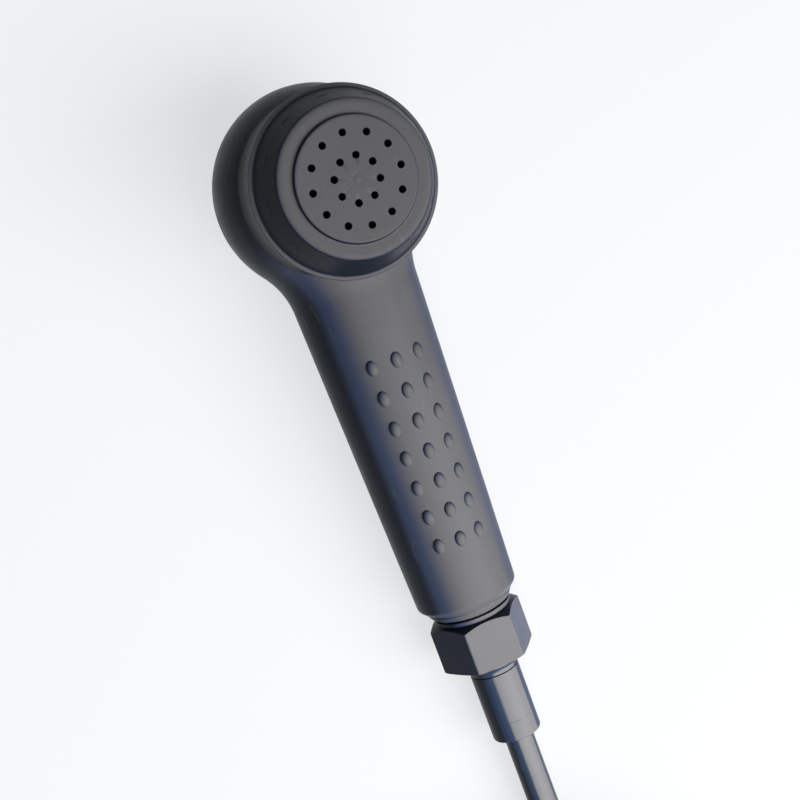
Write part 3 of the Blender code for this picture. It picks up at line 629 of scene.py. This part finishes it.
holes_form = finish_mesh(copies(drill, hole_places()), "holes_form", CAP_AT)
carve(cap, [holes_form], "DIFFERENCE")
print("holes:", len(hole_places()), "cap faces:", len(cap.data.polygons))

# %% [markdown]
# Beside each outer hole the steep band carries a small raised pip that gives the fingers a hold. A pip
# is a flat ellipsoid, turned to the slope of the band and sunk until only its crown stands out.

# %% Spray cap: grip pips
PIP_COUNT = 12
PIP_SIZE = Matrix.Diagonal((0.75 * MM, 1.9 * MM, 0.50 * MM, 1.0))
PIP_SUNK = Matrix.Translation((0.0, 0.0, -0.34 * MM))
BAND_MIDDLE = Matrix.Translation((21.62 * MM, 0.0, 34.8 * MM))
BAND_SLOPE = math.atan2(3.2, 1.25)


def pip():
    bm = bmesh.new()
    bmesh.ops.create_uvsphere(bm, u_segments=16, v_segments=10, radius=1.0)
    bm.transform(PIP_SIZE)
    return bm


def pip_places():
    places = []
    for i in range(PIP_COUNT):
        around = Matrix.Rotation(math.tau * i / PIP_COUNT, 4, "Z")
        places.append(around @ BAND_MIDDLE @ Matrix.Rotation(BAND_SLOPE, 4, "Y") @ PIP_SUNK)
    return places


pips_form = finish_mesh(copies(pip, pip_places()), "pips_form", CAP_AT)
carve(cap, [pips_form], "UNION")
even_shading(cap)
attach(cap, "cap")
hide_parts("spray_cap")
print("cap faces:", len(cap.data.polygons))

# %% [markdown]
# The hose nut is made as a machinist would: a round blank with a lip and a chamfered shoulder is turned,
# and a hexagonal bar is intersected with it. Where the cone of the chamfer meets the flats the curved
# arcs of a real nut appear by themselves. This cell draws the blank.

# %% Hose nuts: the blank
SHOULDER_R = 11.6 * MM
SHOULDER_Z = -5.1 * MM
CORNER_Z = -6.45 * MM
NUT_BORE_R = 10.65 * MM
NUT_END_Z = -19.1 * MM


def nut_outline():
    beyond = NUT_CORNER_R + 0.4 * MM
    slope = (SHOULDER_Z - CORNER_Z) / (NUT_CORNER_R - SHOULDER_R)
    lip = in_mm([(10.9, -3.6), (11.1, -3.6), (11.26, -3.68), (11.32, -3.88), (11.32, -4.3), (11.22, -4.48)])
    groove = in_mm([(11.0, -4.6), (11.0, -4.9), (11.2, -5.02)])
    chamfer = [(SHOULDER_R, SHOULDER_Z), (beyond, SHOULDER_Z - slope * (beyond - SHOULDER_R))]
    end = [(beyond, -18.45 * MM), (13.3 * MM, -18.92 * MM), (12.1 * MM, NUT_END_Z), (6.5 * MM, NUT_END_Z)]
    inside = in_mm([(6.2, -18.8), (6.2, -16.2)]) + [(NUT_BORE_R, -16.2 * MM), (NUT_BORE_R, -3.85 * MM)]
    return lip + groove + chamfer + end + inside


print("nut across corners mm:", round(2.0 * NUT_CORNER_R / MM, 2))

# %% [markdown]
# The bar is a six-sided circle, extruded. Its upright edges are bevelled first, so that the corners of
# the nut come out soft. Each nut is turned to the angle at which it was left when it was tightened.

# %% Hose nuts: the bar and both nuts
NUT_EDGE = 0.45 * MM
BAR_LOW = -20.0 * MM
BAR_HIGH = -1.6 * MM
NUT_CREASE = 24.0
TURNED_STEPS = 120


def hexagon_bar(turn_by):
    bm = bmesh.new()
    bmesh.ops.create_circle(bm, cap_ends=True, segments=6, radius=NUT_CORNER_R + 0.05 * MM)
    up = bmesh.ops.extrude_face_region(bm, geom=bm.faces[:])
    top = [v for v in up["geom"] if isinstance(v, bmesh.types.BMVert)]
    height = BAR_HIGH - BAR_LOW
    bmesh.ops.translate(bm, verts=top, vec=(0.0, 0.0, height))
    bmesh.ops.translate(bm, verts=bm.verts, vec=(0.0, 0.0, BAR_LOW))
    upright = [e for e in bm.edges if abs((e.verts[0].co - e.verts[1].co).z) > 0.5 * height]
    bmesh.ops.bevel(bm, geom=upright, offset=NUT_EDGE, offset_type="OFFSET", segments=4, profile=0.5,
                    affect="EDGES", material=-1)
    bmesh.ops.rotate(bm, verts=bm.verts, cent=(0.0, 0.0, 0.0), matrix=Matrix.Rotation(turn_by, 3, "Z"))
    bmesh.ops.recalc_face_normals(bm, faces=bm.faces)
    return bm


def hose_nut(name, place, azimuth):
    blank = finish_mesh(lathe(nut_outline(), TURNED_STEPS, closed=True), name, place)
    flats = finish_mesh(hexagon_bar(azimuth - math.pi), name + "_flats", place)
    return even_shading(carve(blank, [flats], "INTERSECT", NUT_CREASE))


nut = hose_nut("handset_nut", HANDLE, math.radians(-93.08))
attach(nut, "nut")
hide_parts("hose_nut")
supply_nut = hose_nut("supply_nut", FAR_CONNECTOR, math.radians(-83.0))
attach(supply_nut, "supply_nut")
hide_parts("far_nut")
print("nut faces:", len(nut.data.polygons), "and", len(supply_nut.data.polygons))

# %% [markdown]
# Below the nut the collar of the tail piece shows as a short band that flares towards the nut, and then
# the ferrule that grips the hose, a round sleeve as wide as the collar. The tail piece's flange and barbs
# are hidden in the nut and the hose.

# %% Tail pieces and ferrules: the outlines
BARB_CRESTS = (-25.3, -29.9, -34.5)


def tail_outline():
    flange = [(3.4, -14.9), (9.5, -14.9), (9.6, -15.0), (9.6, -15.9)]
    collar = [(5.9, -15.9), (5.9, -19.2), (8.0, -19.2), (8.15, -19.35), (8.15, -20.7), (7.85, -21.2),
              (7.3, -21.9), (7.18, -22.2), (7.18, -22.9), (7.12, -23.07), (6.95, -23.15), (2.7, -23.15)]
    barbs = []
    for crest in BARB_CRESTS:
        barbs += [(2.7, crest), (2.9, crest - 0.4), (2.7, crest - 3.6)]
    bore = [(2.4, -40.0), (1.8, -40.0), (1.8, -16.9)]
    return in_mm(flange + collar + barbs + bore)


def ferrule_outline():
    outside = [(4.6, -23.3), (6.95, -23.3), (7.12, -23.4), (7.18, -23.6), (7.12, -43.5), (7.02, -43.74)]
    return in_mm(outside + [(6.75, -43.9), (4.95, -43.9), (4.6, -43.5)])


heights = [z for r, z in ferrule_outline()]
print("ferrule length mm:", round((max(heights) - min(heights)) / MM, 1))

# %% [markdown]
# The seam between collar and ferrule is a fine dark arc. A short crease marks where the crimping tool
# closed, and a tiny nick is left in the lower edge. Both are cut with a thin wedge, swept part of the way
# round. The front is the side that the photo shows.

# %% Tail pieces and ferrules: the pieces
TAIL_STEPS = 72
MARK_START, MARK_SWEEP = math.radians(29.0), math.radians(32.0)
NICK_START, NICK_SWEEP = math.radians(1.0), math.radians(4.0)


def crease(radius, height, start, sweep):
    bm = bmesh.new()
    section = in_mm([(radius - 0.12, height + 0.02), (radius + 0.2, height + 0.12),
                     (radius + 0.2, height - 0.12), (radius - 0.12, height - 0.02)])
    verts = [bm.verts.new((r, 0.0, z)) for r, z in section]
    face = bm.faces.new(verts)
    bmesh.ops.rotate(bm, verts=verts, cent=(0.0, 0.0, 0.0), matrix=Matrix.Rotation(start, 3, "Z"))
    bmesh.ops.spin(bm, geom=[face] + list(face.edges) + verts, cent=(0.0, 0.0, 0.0), axis=(0.0, 0.0, 1.0),
                   angle=sweep, steps=14)
    return close_up(bm)


def ferrule_piece(name, place, front):
    sleeve = finish_mesh(lathe(ferrule_outline(), TURNED_STEPS, closed=True), name, place)
    mark = finish_mesh(crease(7.14, -38.0, front - MARK_START, MARK_SWEEP), name + "_mark", place)
    nick = finish_mesh(crease(7.04, -43.76, front - NICK_START, NICK_SWEEP), name + "_nick", place)
    return even_shading(carve(sleeve, [mark, nick], "DIFFERENCE", NUT_CREASE))


tail_piece = finish_mesh(lathe(tail_outline(), TAIL_STEPS, closed=True), "hose_tail_piece", HANDLE)
ferrule = ferrule_piece("crimped_ferrule", HANDLE, math.radians(-90.0))
supply_tail = finish_mesh(lathe(tail_outline(), TAIL_STEPS, closed=True), "supply_tail_piece", FAR_CONNECTOR)
supply_ferrule = ferrule_piece("supply_ferrule", FAR_CONNECTOR, math.radians(70.0))
for piece, node in ((tail_piece, "hose_insert"), (ferrule, "hose_ferrule"),
                    (supply_tail, "far_insert"), (supply_ferrule, "far_ferrule")):
    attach(piece, "hose_tail")
    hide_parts(node)
    print(piece.name, "faces:", len(piece.data.polygons))

# %% [markdown]
# Screw threads are small ridges that wind round a cylinder. A short wedge of four points is swept with
# bmesh.ops.spin, which can also move it along the axis while it turns, and that makes a helix. A negative
# height makes a ridge that points inward. The ridges of stub and nut lie half a pitch apart, so they mesh
# when the nut is on and when it comes off.

# %% Screw threads
G_PITCH = 1.814 * MM
CAP_PITCH = 3.0 * MM
RIDGE = 0.22 * MM
RIDGE_WIDTH = 0.8 * MM
ROOT_DEPTH = 0.12 * MM


def thread(radius, height, width, pitch, turns, start_z, steps_a_turn=48):
    bm = bmesh.new()
    tip = radius + height
    root = radius - (ROOT_DEPTH if height > 0.0 else -ROOT_DEPTH)
    half = width / 2.0
    crest = half * 0.35
    section = [(root, start_z + half), (tip, start_z + crest), (tip, start_z - crest), (root, start_z - half)]
    verts = [bm.verts.new((r, 0.0, z)) for r, z in section]
    face = bm.faces.new(verts)
    steps = int(steps_a_turn * turns)
    bmesh.ops.spin(bm, geom=[face] + list(face.edges) + verts, cent=(0.0, 0.0, 0.0), axis=(0.0, 0.0, 1.0),
                   angle=math.tau * turns, dvec=(0.0, 0.0, -pitch * turns / steps), steps=steps)
    return close_up(bm)


stub_ridge = thread(STUB_R, RIDGE, RIDGE_WIDTH, G_PITCH, 4.4, -4.0 * MM)
stub_thread = finish_mesh(stub_ridge, "stub_thread", HANDLE)
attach(stub_thread, "handset")
nut_ridge = thread(NUT_BORE_R, -RIDGE, RIDGE_WIDTH, G_PITCH, 4.2, -4.9 * MM)
nut_thread = finish_mesh(nut_ridge, "nut_thread", HANDLE)
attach(nut_thread, "nut")
supply_ridge = thread(NUT_BORE_R, -0.75 * MM, 1.4 * MM, G_PITCH, 4.2, -4.9 * MM)
supply_thread = finish_mesh(supply_ridge, "supply_thread", FAR_CONNECTOR)
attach(supply_thread, "supply_nut")
cap_ridge = thread(21.3 * MM, RIDGE, 1.1 * MM, CAP_PITCH, 1.9, 27.6 * MM, 90)
cap_thread = finish_mesh(cap_ridge, "cap_thread", CAP_AT)
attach(cap_thread, "cap")
print("thread faces:", [len(t.data.polygons) for t in (stub_thread, nut_thread, supply_thread, cap_thread)])

# %% [markdown]
# With all that rides on the hose made, only the hose's width is printed here.

print("hose diameter mm:", round(HOSE_D / MM, 2))

# %% [markdown]
# Every surface here is plastic or rubber, and what tells them apart is finish. Moulded plastic is never
# quite even: its colour drifts a little, its gloss varies where hands have rubbed it, and under a close
# look it has a fine grain. These effects are built from a few kinds of node, so small helpers come first:
# one that adds a node with its settings, and one for a noise that reads the piece's own coordinates.

# %% Material helpers: nodes and noises
def add_node(tree, kind, inputs=(), **settings):
    node = tree.nodes.new("ShaderNode" + kind)
    for setting, value in settings.items():
        setattr(node, setting, value)
    for socket, value in dict(inputs).items():
        node.inputs[socket].default_value = value
    return node


def noise(tree, place, scale, detail):
    texture = add_node(tree, "TexNoise", {"Scale": scale, "Detail": detail})
    tree.links.new(place, texture.inputs["Vector"])
    return texture.outputs["Fac"]


def spread(tree, value, low, high, to_low=0.0, to_high=1.0):
    limits = {"From Min": low, "From Max": high, "To Min": to_low, "To Max": to_high}
    step = add_node(tree, "MapRange", limits)
    tree.links.new(value, step.inputs["Value"])
    return step.outputs["Result"]


def opaque(colour, factor=1.0):
    return (factor * colour[0], factor * colour[1], factor * colour[2], 1.0)


# %% [markdown]
# Faces that look up are painted a paler grey, as painted light. It comes from the surface's own normal: its
# dot product with a direction says how far a face looks that way, and a colour ramp lets the painted light
# pass through a painted dark blue shade to a painted near black on the flanks. Nothing in it depends on where
# the camera stands.

# %% Material helper: the painted light and shade
# Painted light and shade: a face is painted paler the more it looks along the direction up, and a darker blue
# to near black on the flanks.
def painted_shade_by_facing(tree, normal, up, edge, painted_shades):
    facing = add_node(tree, "VectorMath", {1: up}, operation="DOT_PRODUCT")
    tree.links.new(normal, facing.inputs[0])
    ramp = add_node(tree, "ValToRGB")
    ramp.color_ramp.interpolation = "EASE"
    stops = ramp.color_ramp.elements
    for at, colour in painted_shades[1:-1]:
        stops.new(at)
    for stop, (at, colour) in zip(stops, painted_shades):
        stop.position = at
        stop.color = opaque(colour)
    tree.links.new(spread(tree, facing.outputs["Value"], edge[0], edge[1]), ramp.inputs["Fac"])
    return ramp.outputs["Color"]


# %% [markdown]
# The colour itself drifts between two near tones with a broad noise. Where one end of a piece is painted
# paler, as painted light, a gradient along it is added to the noise. Faint slanting streaks, where the
# plastic was scuffed, come from a very fine noise that a Mapping node stretches in one direction.

# %% Material helper: drift, painted light along a piece, and scuffs
DRIFT_SCALE = 38.0
PAINTED_LIGHT_ALONG_AMOUNT = 0.40
SCUFF_SLANT = 0.45
SCUFF_SCALE = 800.0
SCUFF_STRENGTH = 0.14
SCUFF_LIGHTER = 1.6


def drift_and_painted_light(tree, place, dark, light, painted_light_along):
    share = noise(tree, place, DRIFT_SCALE, 3.0)
    # Painted light: the colour is made paler towards one end of the piece.
    if painted_light_along:
        split = add_node(tree, "SeparateXYZ")
        tree.links.new(place, split.inputs["Vector"])
        total = add_node(tree, "Math", operation="ADD", use_clamp=True)
        tree.links.new(share, total.inputs[0])
        along = spread(tree, split.outputs["Y"], painted_light_along[0], painted_light_along[1], -PAINTED_LIGHT_ALONG_AMOUNT, PAINTED_LIGHT_ALONG_AMOUNT)
        tree.links.new(along, total.inputs[1])
        share = total.outputs["Value"]
    tint = add_node(tree, "Mix", data_type="RGBA")
    tint.inputs["A"].default_value = opaque(dark)
    tint.inputs["B"].default_value = opaque(light)
    tree.links.new(share, tint.inputs["Factor"])
    return tint.outputs["Result"]


def scuffed(tree, place, body, light):
    stretch = add_node(tree, "Mapping", {"Rotation": (0.0, 0.0, SCUFF_SLANT), "Scale": (1.0, 0.10, 1.0)})
    tree.links.new(place, stretch.inputs["Vector"])
    rubbed = noise(tree, stretch.outputs["Vector"], SCUFF_SCALE, 4.0)
    worn = add_node(tree, "Mix", data_type="RGBA")
    worn.inputs["B"].default_value = opaque(light, SCUFF_LIGHTER)
    tree.links.new(spread(tree, rubbed, 0.64, 0.74, 0.0, SCUFF_STRENGTH), worn.inputs["Factor"])
    tree.links.new(body, worn.inputs["A"])
    return worn.outputs["Result"]


# %% [markdown]
# One function puts a finish together. The drifting colour is multiplied by the painted light and shade
# and gets its scuffs, another noise drives roughness, and a third ends in a very fine bump. The numbers
# that are the same everywhere sit on the shader.

# %% Material helper: moulded plastic
WEAR_SCALE = 160.0
BUMP_STRENGTH = 0.35


def moulded(name, dark, light, painted_shades, rough, grain, depth, specular=0.25, up=(0.0, 0.0, 1.0),
            edge=(0.52, 0.90), painted_light_along=None):
    mat = bpy.data.materials.new(name)
    mat.use_nodes = True
    tree = mat.node_tree
    shader = tree.nodes["Principled BSDF"]
    shader.inputs["Specular IOR Level"].default_value = specular
    where = add_node(tree, "TexCoord")
    place = where.outputs["Object"]
    body = add_node(tree, "Mix", data_type="RGBA", blend_type="MULTIPLY")
    body.inputs["Factor"].default_value = 1.0
    tree.links.new(drift_and_painted_light(tree, place, dark, light, painted_light_along), body.inputs["A"])
    # The painted light and shade by facing is multiplied into the colour here.
    tree.links.new(painted_shade_by_facing(tree, where.outputs["Normal"], up, edge, painted_shades), body.inputs["B"])
    tree.links.new(scuffed(tree, place, body.outputs["Result"], light), shader.inputs["Base Color"])
    wear = noise(tree, place, WEAR_SCALE, 4.0)
    tree.links.new(spread(tree, wear, 0.3, 0.7, rough[0], rough[1]), shader.inputs["Roughness"])
    bump = add_node(tree, "Bump", {"Strength": BUMP_STRENGTH, "Distance": depth})
    tree.links.new(noise(tree, place, grain, 2.0), bump.inputs["Height"])
    tree.links.new(bump.outputs["Normal"], shader.inputs["Normal"])
    return mat


# %% [markdown]
# The painted shades below are factors on the two colours, from a face that looks away from the painted
# light's direction to one that looks along it. On the body, the cap and the nut the painted shade fades
# softly. The ferrule and the hose get crisp painted stripes of reflection, so their ramp has narrow steps.
# The shell is painted a little paler towards its foot, as painted light.

# %% The finishes
# Directions towards which faces are painted paler, as painted light, and ramps of painted shade for the
# flanks.
PAINTED_LIGHT_FROM_RIGHT = (0.16, 0.0, 0.987)
PAINTED_LIGHT_FROM_NUT_SIDE = (0.10, -0.42, 0.90)
PAINTED_LIGHT_ON_FLATS = (0.24, -0.30, 0.923)
SOFT_PAINTED_SHADE = [(0.0, (0.10, 0.13, 0.20)), (0.42, (0.37, 0.50, 0.86)), (1.0, (1.0, 1.0, 1.0))]
# Painted reflection: the narrow steps paint crisp stripes on the round sleeves and the hose.
TUBE_PAINTED_STRIPES = [(0.02, (0.06, 0.075, 0.11)), (0.20, (0.12, 0.20, 0.38)), (0.76, (0.17, 0.28, 0.52)),
        (0.95, (1.0, 1.0, 1.0))]
TUBE_PAINTED_STRIPE_EDGE = (0.46, 0.89)
PLAIN_PAINTED_SHADE = [(0.0, (0.8, 0.8, 0.84)), (1.0, (1.0, 1.0, 1.0))]
FINE = 0.02 * MM
COARSE = 0.03 * MM


def sleeve_plastic(name):
    return moulded(name, (0.215, 0.211, 0.215), (0.240, 0.235, 0.240), TUBE_PAINTED_STRIPES, (0.30, 0.38), 2200.0, FINE,
                   0.11, PAINTED_LIGHT_FROM_RIGHT, TUBE_PAINTED_STRIPE_EDGE)


# The shell is painted paler towards its foot, as painted light.
shell_plastic = moulded("shell_plastic", (0.106, 0.104, 0.107), (0.150, 0.147, 0.151), SOFT_PAINTED_SHADE, (0.33, 0.41),
                        2600.0, FINE, 0.075, PAINTED_LIGHT_FROM_NUT_SIDE, (0.40, 0.885), (0.040, -0.010))
cap_plastic = moulded("cap_plastic", (0.088, 0.086, 0.089), (0.103, 0.100, 0.104), SOFT_PAINTED_SHADE, (0.35, 0.43),
                      2600.0, FINE, 0.065)
nut_plastic = moulded("nut_plastic", (0.178, 0.174, 0.177), (0.205, 0.200, 0.204), SOFT_PAINTED_SHADE, (0.31, 0.39),
                      2200.0, FINE, 0.08, PAINTED_LIGHT_ON_FLATS, (0.40, 0.90))
tail_plastic = sleeve_plastic("tail_plastic")
ferrule_plastic = sleeve_plastic("ferrule_plastic")
hose_vinyl = moulded("hose_vinyl", (0.185, 0.182, 0.185), (0.250, 0.245, 0.249), TUBE_PAINTED_STRIPES, (0.26, 0.34),
                     1500.0, FINE, 0.15, PAINTED_LIGHT_FROM_RIGHT, TUBE_PAINTED_STRIPE_EDGE)
soft_rubber = moulded("soft_rubber", (0.014, 0.014, 0.015), (0.024, 0.024, 0.025), PLAIN_PAINTED_SHADE, (0.65, 0.82),
                      1800.0, COARSE)
tie_vinyl = moulded("tie_vinyl", (0.020, 0.020, 0.021), (0.030, 0.030, 0.031), PLAIN_PAINTED_SHADE, (0.40, 0.52),
                    1500.0, COARSE)
print("materials:", [mat.name for mat in bpy.data.materials])

# %% [markdown]
# Each piece takes the finish of what it is made of. The seal, the washers and the tie are the CAD model's
# own solids. They are never moved or changed, but their material slots may be filled.

# %% Materials on the pieces
def dress(mat, *pieces):
    for piece in pieces:
        piece.data.materials.clear()
        piece.data.materials.append(mat)
    print(mat.name, "on", len(pieces))


dress(shell_plastic, shell, stub_thread)
dress(cap_plastic, cap, cap_thread)
dress(nut_plastic, nut, supply_nut, nut_thread, supply_thread)
dress(tail_plastic, tail_piece, supply_tail)
dress(ferrule_plastic, ferrule, supply_ferrule)
dress(hose_vinyl, hose)
dress(soft_rubber, nodes["cap_seal"], nodes["nut_washer"], nodes["far_washer"])
dress(tie_vinyl, nodes["hank_tie"])

# %% [markdown]
# The photo is a cut-out on near white. Floor and world are pale where the camera, a reflection or a clear
# material sees them. The light that they throw on the object is weaker and bluer, because in the photo
# the flanks turn almost black. The Light Path node tells the two apart.

# %% Helpers for the background
def seen_directly(tree):
    path = add_node(tree, "LightPath")
    mirrored = add_node(tree, "Math", operation="MAXIMUM")
    tree.links.new(path.outputs["Is Glossy Ray"], mirrored.inputs[0])
    tree.links.new(path.outputs["Is Transmission Ray"], mirrored.inputs[1])
    seen = add_node(tree, "Math", operation="MAXIMUM")
    tree.links.new(path.outputs["Is Camera Ray"], seen.inputs[0])
    tree.links.new(mirrored.outputs["Value"], seen.inputs[1])
    return seen.outputs["Value"]


def two_tones(tree, seen, thrown, shown):
    tone = add_node(tree, "Mix", data_type="RGBA")
    tone.inputs["A"].default_value = thrown
    tone.inputs["B"].default_value = shown
    tree.links.new(seen, tone.inputs["Factor"])
    return tone.outputs["Result"]


# %% [markdown]
# The floor is a plain sheet just under the object. Where it is seen it also glows a little, so that it
# is near white and still keeps the object's shadow.

# %% Floor
FLOOR_REACH = 3.0
FLOOR_Z = -0.4 * MM
FLOOR_GLOW = 0.69


def pale_floor():
    mat = bpy.data.materials.new("pale_floor")
    mat.use_nodes = True
    tree = mat.node_tree
    shader = tree.nodes["Principled BSDF"]
    shader.inputs["Roughness"].default_value = 0.9
    shader.inputs["Specular IOR Level"].default_value = 0.0
    shader.inputs["Emission Color"].default_value = (0.97, 0.985, 1.0, 1.0)
    seen = seen_directly(tree)
    tone = two_tones(tree, seen, (0.10, 0.13, 0.19, 1.0), (0.24, 0.24, 0.24, 1.0))
    tree.links.new(tone, shader.inputs["Base Color"])
    glow = add_node(tree, "Math", {1: FLOOR_GLOW}, operation="MULTIPLY")
    tree.links.new(seen, glow.inputs[0])
    tree.links.new(glow.outputs["Value"], shader.inputs["Emission Strength"])
    return mat


floor_bm = bmesh.new()
bmesh.ops.create_grid(floor_bm, x_segments=2, y_segments=2, size=FLOOR_REACH)
floor_bm.transform(Matrix.Translation((0.0, 0.0, FLOOR_Z)))
floor_mesh = bpy.data.meshes.new("floor")
floor_bm.to_mesh(floor_mesh)
floor_bm.free()
floor = in_scene("floor", floor_mesh)
floor.data.materials.append(pale_floor())
print("floor reaches m:", FLOOR_REACH, "each way")

# %% [markdown]
# The world behind the floor's edge is pale grey where it is seen, and a dim blue as a light.

# %% World
world = bpy.data.worlds.new("studio")
scene.world = world
world.use_nodes = True
sky_tree = world.node_tree
sky = sky_tree.nodes["Background"]
sky.inputs["Strength"].default_value = 1.0
sky_tone = two_tones(sky_tree, seen_directly(sky_tree), (0.018, 0.026, 0.040, 1.0), (0.80, 0.83, 0.86, 1.0))
sky_tree.links.new(sky_tone, sky.inputs["Color"])
print("world:", world.name, "nodes:", len(sky_tree.nodes))

# %% [markdown]
# Three plain soft lights: a broad one from the nut's side and the right, which lifts the lower handle and
# leaves the side towards the head dark, a small one overhead, and a low blue one that grazes the foot.

# %% Lamps
LAMP_DISTANCE = 1.0


def softbox(name, direction, wide, deep, radiance, colour):
    lamp = bpy.data.lights.new(name, "AREA")
    lamp.shape = "RECTANGLE"
    lamp.size = wide
    lamp.size_y = deep
    lamp.energy = radiance * math.pi * wide * deep
    lamp.color = colour
    out = Vector(direction).normalized()
    across = Vector((1.0, 0.0, 0.0))
    across = (across - across.dot(out) * out).normalized()
    turned = Matrix((across, out.cross(across), out)).transposed().to_4x4()
    in_scene(name, lamp).matrix_world = Matrix.Translation(out * LAMP_DISTANCE) @ turned


softbox("window_softbox", (0.36, -0.48, 0.80), 1.0, 0.7, 6.4, (1.0, 0.985, 0.975))
softbox("overhead_softbox", (-0.26, -0.50, 0.83), 0.3, 0.5, 5.4, (0.93, 0.97, 1.0))
softbox("low_softbox", (0.45, -0.85, 0.28), 0.5, 0.25, 2.6, (0.58, 0.78, 1.0))

scene.view_settings.view_transform = "Standard"
print("lamps:", [lamp.name for lamp in bpy.data.lights])

# %% [markdown]
# The last cell brings the scene up to date. The solids and the visible pieces have to fill about the same
# box, so that the part is as large as it looks.

# %% The end
bpy.context.view_layer.update()
